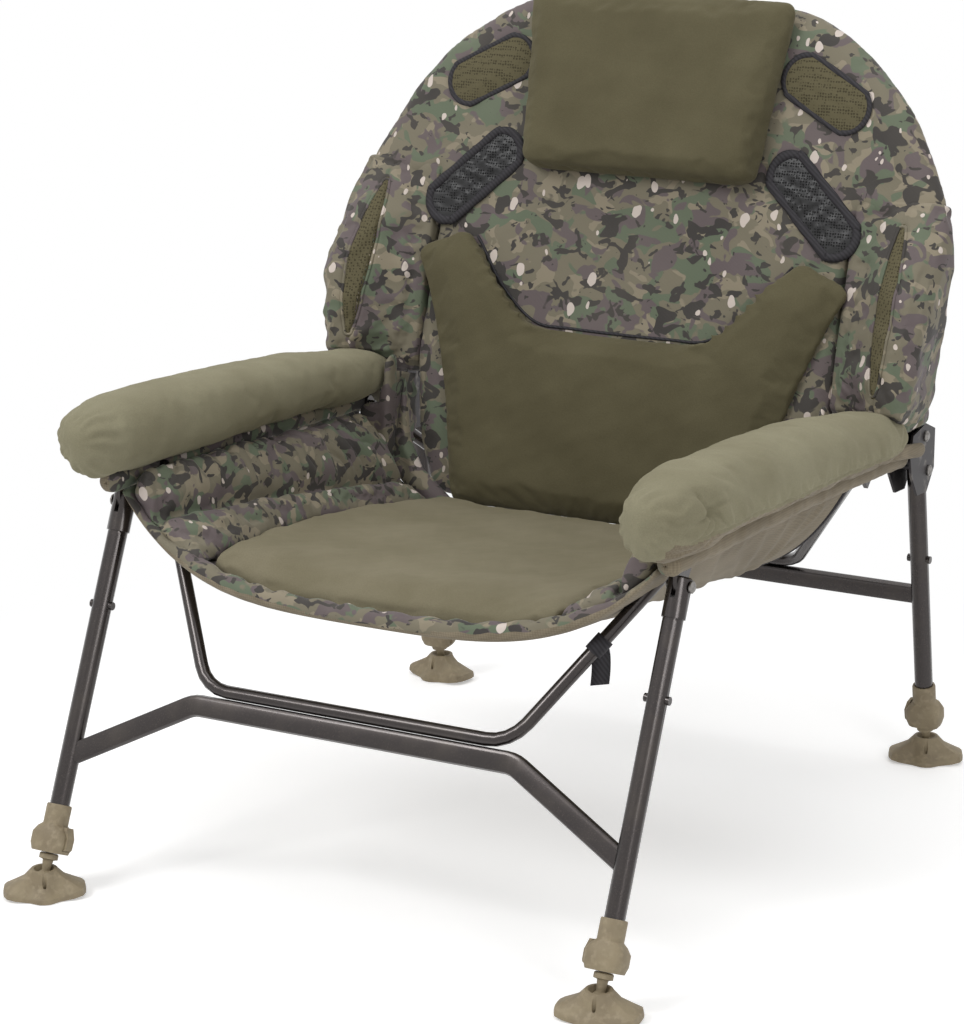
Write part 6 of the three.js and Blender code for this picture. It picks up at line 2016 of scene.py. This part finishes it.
        def detail(points: Points, normals: Points) -> Points:
            place = self.layout.off_back(points)
            x, s = np.abs(place[:, 0]), place[:, 1]
            seam_side = 1 - eased(3, 60, x - self.inner_x)
            gather = np.sin(s / 5.6 + 2.4 * ripple(points, 60, seed)) * seam_side
            foot = 1 - eased(4, 70, s - self.base)
            cluster = np.sin(x / 6.0 + 0.12 * s + 2.0 * ripple(points, 50, seed + 2)) * foot
            slant = np.sin((s + 0.8 * x) / 11 + 2.2 * ripple(points, 90, seed + 4)) * hump(s, 250, 90)
            broad = 1.6 * ripple(points, 90, seed + 6)
            shown = eased(2, 8, x - self.inner_x) * eased(1, 7, end - s)
            return shown * (gather + 1.4 * cluster + 0.8 * slant + broad)

        creased(piece, self.layout, detail)
        self.add_pocket(piece)
        anchor = tuple(float(v) for v in self.layout.metres([np.array(self.anchor) * (side, 1, 1)])[0])
        settle(piece, Body.BACK, Slot.CAMOUFLAGE, [f"back_wing_{name}"])
        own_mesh(piece)
        up = np.linspace(0.02, 0.98, self.pocket_steps)
        share = np.concatenate([up, np.linspace(0.98, 0.02, self.pocket_steps)])
        centre, half = self.pocket(share)
        x = centre + half * np.repeat([1, -1], self.pocket_steps)
        s = self.base + self.pocket_margin + share * (self.top - self.base - 2 * self.pocket_margin)
        line = self.layout.on_back(side * x, s, 70.0)
        path = laid_on(piece, self.layout, line, -self.layout.outward, 0.4, 130.0)
        rim = Shape.tube(rounded_line(path, 150, closed=True), 2.0, 8, closed=True)
        welt = self.piece(rim, f"pocket_rim_{name}", self.wardrobe.camouflage)
        settle(welt, Body.BACK, Slot.CAMOUFLAGE)
        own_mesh(welt)
        return piece

    def pocket(self, share: Points) -> tuple[Points, Points]:
        """The middle and the half width of the mesh pocket at a share of its height."""
        bow = np.clip(np.sin(np.clip(share, 0, 1) * math.pi), 0, 1)
        return self.pocket_x - self.pocket_lean * share**2, self.pocket_half * np.sqrt(bow)

    def add_pocket(self, piece: Piece) -> None:
        """Turns a tall lens on the wing's front into mesh and sinks its rim."""
        outward = self.layout.outward
        tall = self.top - self.base - 2 * self.pocket_margin

        def inside(points: Points) -> Points:
            x, s, out = self.layout.off_back(points).T
            centre, half = self.pocket((s - self.base - self.pocket_margin) / tall)
            return (half - np.abs(np.abs(x) - centre)) * (out > self.hoop_out(260.0) + 12)

        def rim(points: Points, normals: Points) -> Points:
            depth = -2.0 * hump(inside(points), 0, 2.2) + 1.5 * (inside(points) > 3)
            return np.where(normals @ outward > 0.1, depth, 0.0)

        creased(piece, self.layout, rim)
        finish_faces(piece, self.layout, lambda p, n: (inside(p) > 0) & (n @ outward > 0.1))

    def build(self) -> None:
        """Makes both wings."""
        for name, side in SIDES.items():
            self.make(name, side)


@dataclass
class Strap(SubAssembly):
    """The tie-down strap round the front brace: webbing looped under the seat cloth, with a loose tail."""

    along: float = 0.49
    tube_radius: float = 7.5
    clearance: float = 0.5
    wall: float = 1.8
    width: float = 20.0
    tail: float = 32.0
    tab: float = 14.0

    def build(self) -> None:
        """Makes the loop, its tail and the tab that goes up to the cloth as one ribbon."""
        corner, top = np.array(self.layout.brace_corner), np.array(self.layout.brace_top)
        along = (top - corner) / np.linalg.norm(top - corner)
        back = np.array([0.0, 1.0, 0.0]) - along * along[1]
        back /= np.linalg.norm(back)
        down = np.cross(back, along)
        radius = self.tube_radius + self.clearance + self.wall / 2
        turn = [(radius * math.cos(a), radius * math.sin(a)) for a in np.linspace(0.15, 2 * math.pi - 0.35, 40)]
        tab = [(radius * 0.98 + self.tab * t, 1.4 + 6.5 * t - 3 * t * t) for t in np.linspace(1, 0.15, 8)]
        middle = corner + (top - corner) * self.along
        route = rounded_line([middle + back * a + down * b for a, b in tab + turn], 90)
        level = np.array([along[0], along[1], 0.0])
        fall = np.linspace(0, 1, 30)[:, None]
        rest = middle + back * (radius + self.wall + 0.1)
        swing = np.array([0.0, 3.5, 0.0]) * np.sin(fall * 2.6)
        tail = rest + fall * np.array([0.0, -3.0, -self.tail - 9.0]) + swing
        turned = unit(mix(along, level / np.linalg.norm(level), eased(0, 0.45, fall)))
        ribbons = []
        for line, across in ((route, np.tile(along, (len(route), 1))), (tail, turned)):
            out = np.cross(across, unit(np.gradient(line, axis=0)))
            corners = ((-1, -1), (1, -1), (1, 1), (-1, 1))
            edges = [line + across * (self.width / 2) * w + out * self.wall / 2 * h for w, h in corners]
            ribbons.append(Shape.from_grid(np.stack(edges, axis=1), wrap=True, capped=True))
        piece = self.piece(ribbons[0].joined(ribbons[1]), "tie_strap", self.wardrobe.tape)
        settle(piece, Body.FRAME, Slot.WEBBING, ["brace_strap"])


@dataclass(frozen=True)
class Studio:
    """The camera at the photograph's viewpoint, three soft lamps, a pale floor and a white surround."""

    layout: Layout
    eye: Triple = (1716.49, -3080.26, 1368.09)
    azimuth: float = 29.035
    elevation: float = 15.313
    roll: float = -0.09
    focal_mm: float = 116.12
    sensor_mm: float = 36.0
    paper_lift: float = 0.36
    surround: float = 0.52
    paper: Pair = (14.0, 0.0008)  # the sheet's half side and how far it lies below the feet, in metres
    fade: Pair = (0.55, 1.1)  # where the paper starts to fade, and where it is plain white, in metres

    def make_camera(self) -> None:
        """Makes the camera."""
        data = bpy.data.cameras.new("camera")
        data.lens, data.sensor_width = self.focal_mm, self.sensor_mm
        data.clip_end = 100.0
        camera = bpy.data.objects.new("camera", data)
        bpy.context.scene.collection.objects.link(camera)
        az, el, roll = (math.radians(v) for v in (self.azimuth, self.elevation, self.roll))
        back = Vector((math.sin(az) * math.cos(el), -math.cos(az) * math.cos(el), math.sin(el)))
        right = Vector((math.cos(az), math.sin(az), 0.0))
        up = back.cross(right)
        turned_right = right * math.cos(roll) + up * math.sin(roll)
        turned_up = up * math.cos(roll) - right * math.sin(roll)
        turn = Matrix((turned_right, turned_up, back)).transposed().to_4x4()
        camera.matrix_world = Matrix.Translation(Vector(self.layout.metres(self.eye))) @ turn
        bpy.context.scene.camera = camera

    def make_lamp(self, name: str, place: Triple, target: Triple, size: float, watts: float) -> None:
        """Makes one soft rectangular lamp.

        Args:
            name: its name.
            place: where it stands, in metres.
            target: what it points at.
            size: its side.
            watts: its power.
        """
        data = bpy.data.lights.new(name, "AREA")
        data.energy, data.size = watts, size
        lamp = bpy.data.objects.new(name, data)
        lamp.location = place
        lamp.rotation_euler = (Vector(place) - Vector(target)).to_track_quat("Z", "Y").to_euler()
        bpy.context.scene.collection.objects.link(lamp)

    def make_floor(self) -> None:
        """Makes the floor: a broad sheet of pale paper that keeps the soft shadow and fades to plain white."""
        tree = Tree("studio_paper_white")
        grain = tree.add("TexNoise", tree.pattern(6.0, Detail=3.0))
        colour = tree.add("Mix", {SHARE: grain, FROM: linear("#f2f2f2"), TO: linear("#f8f8f8")}, MIXED, **RGBA)
        seen = tree.seen_directly()
        lift = tree.add("Math", {0: seen, 1: self.paper_lift}, operation="MULTIPLY")
        tree.dress({"Base Color": colour, "Roughness": 0.9, "Specular IOR Level": 0.1})
        tree.dress({"Emission Color": linear("#ffffff"), "Emission Strength": lift})
        distance = tree.add("VectorMath", {0: tree.place}, "Value", operation="LENGTH")
        far = tree.add("MapRange", {VALUE: distance, LOW: self.fade[0], HIGH: self.fade[1]}, **SMOOTH)
        share = tree.add("Math", {0: far, 1: seen}, operation="MULTIPLY")
        white = tree.add("Emission", {"Color": linear("#ffffff"), "Strength": 1.0})
        blend = tree.add("MixShader", {0: share, 1: tree.surface, 2: white})
        tree.add("OutputMaterial", {"Surface": blend}, out=None, is_active_output=True)
        half, drop = self.paper
        axis = np.linspace(-half, half, 25)
        gx, gy = np.meshgrid(axis, axis)
        mesh = bpy.data.meshes.new("floor")
        shape = Shape.from_grid(np.stack([gx, gy, gx * 0 - drop], axis=-1))
        mesh.from_pydata(shape.points.tolist(), [], shape.faces)
        mesh.materials.append(tree.material)
        floor = bpy.data.objects.new("floor", mesh)
        bpy.context.scene.collection.objects.link(floor)
        floor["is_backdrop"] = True

    def make_surround(self) -> None:
        """Makes the world: a soft even light, seen as plain white."""
        world = bpy.data.worlds.new("surround")
        bpy.context.scene.world = world
        graph = Graph(world)
        light = graph.add("Background", {"Color": linear("#ffffff"), "Strength": self.surround})
        white = graph.add("Background", {"Color": linear("#ffffff"), "Strength": 1.0})
        blend = graph.add("MixShader", {0: graph.seen_directly(), 1: light, 2: white})
        graph.add("OutputWorld", {"Surface": blend}, out=None)

    def build(self) -> None:
        """Makes the studio."""
        self.make_floor()
        self.make_surround()
        self.make_lamp("key", (-1.6, -2.6, 3.2), (0, 0, 0.4), 1.3, 62.0)
        self.make_lamp("fill", (2.8, -2.0, 1.8), (0, 0, 0.4), 1.1, 24.0)
        self.make_lamp("top", (0.2, 0.6, 3.4), (0, 0, 0.3), 2.6, 36.0)
        bpy.context.scene.view_settings.view_transform = "Standard"


def main() -> None:
    """Builds the scene in order and reports each piece."""
    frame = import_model()
    size = {"cad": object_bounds()}
    layout = Layout.from_frame()
    studio = Studio(layout)
    studio.make_camera()
    wardrobe = Wardrobe()
    Metalwork(wardrobe).dress(frame["nodes"])
    Seat(layout, wardrobe, Sling(layout)).build()
    ArmPads(layout, wardrobe).build()
    Backrest(layout, wardrobe).build()
    Wings(layout, wardrobe).build()
    Strap(layout, wardrobe).build()
    studio.build()
    bpy.context.view_layer.update()
    size["dressed"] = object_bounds()
    lists = {key: [[float(v) for v in corner] for corner in box] for key, box in size.items()}


if __name__ == "__main__":
    main()
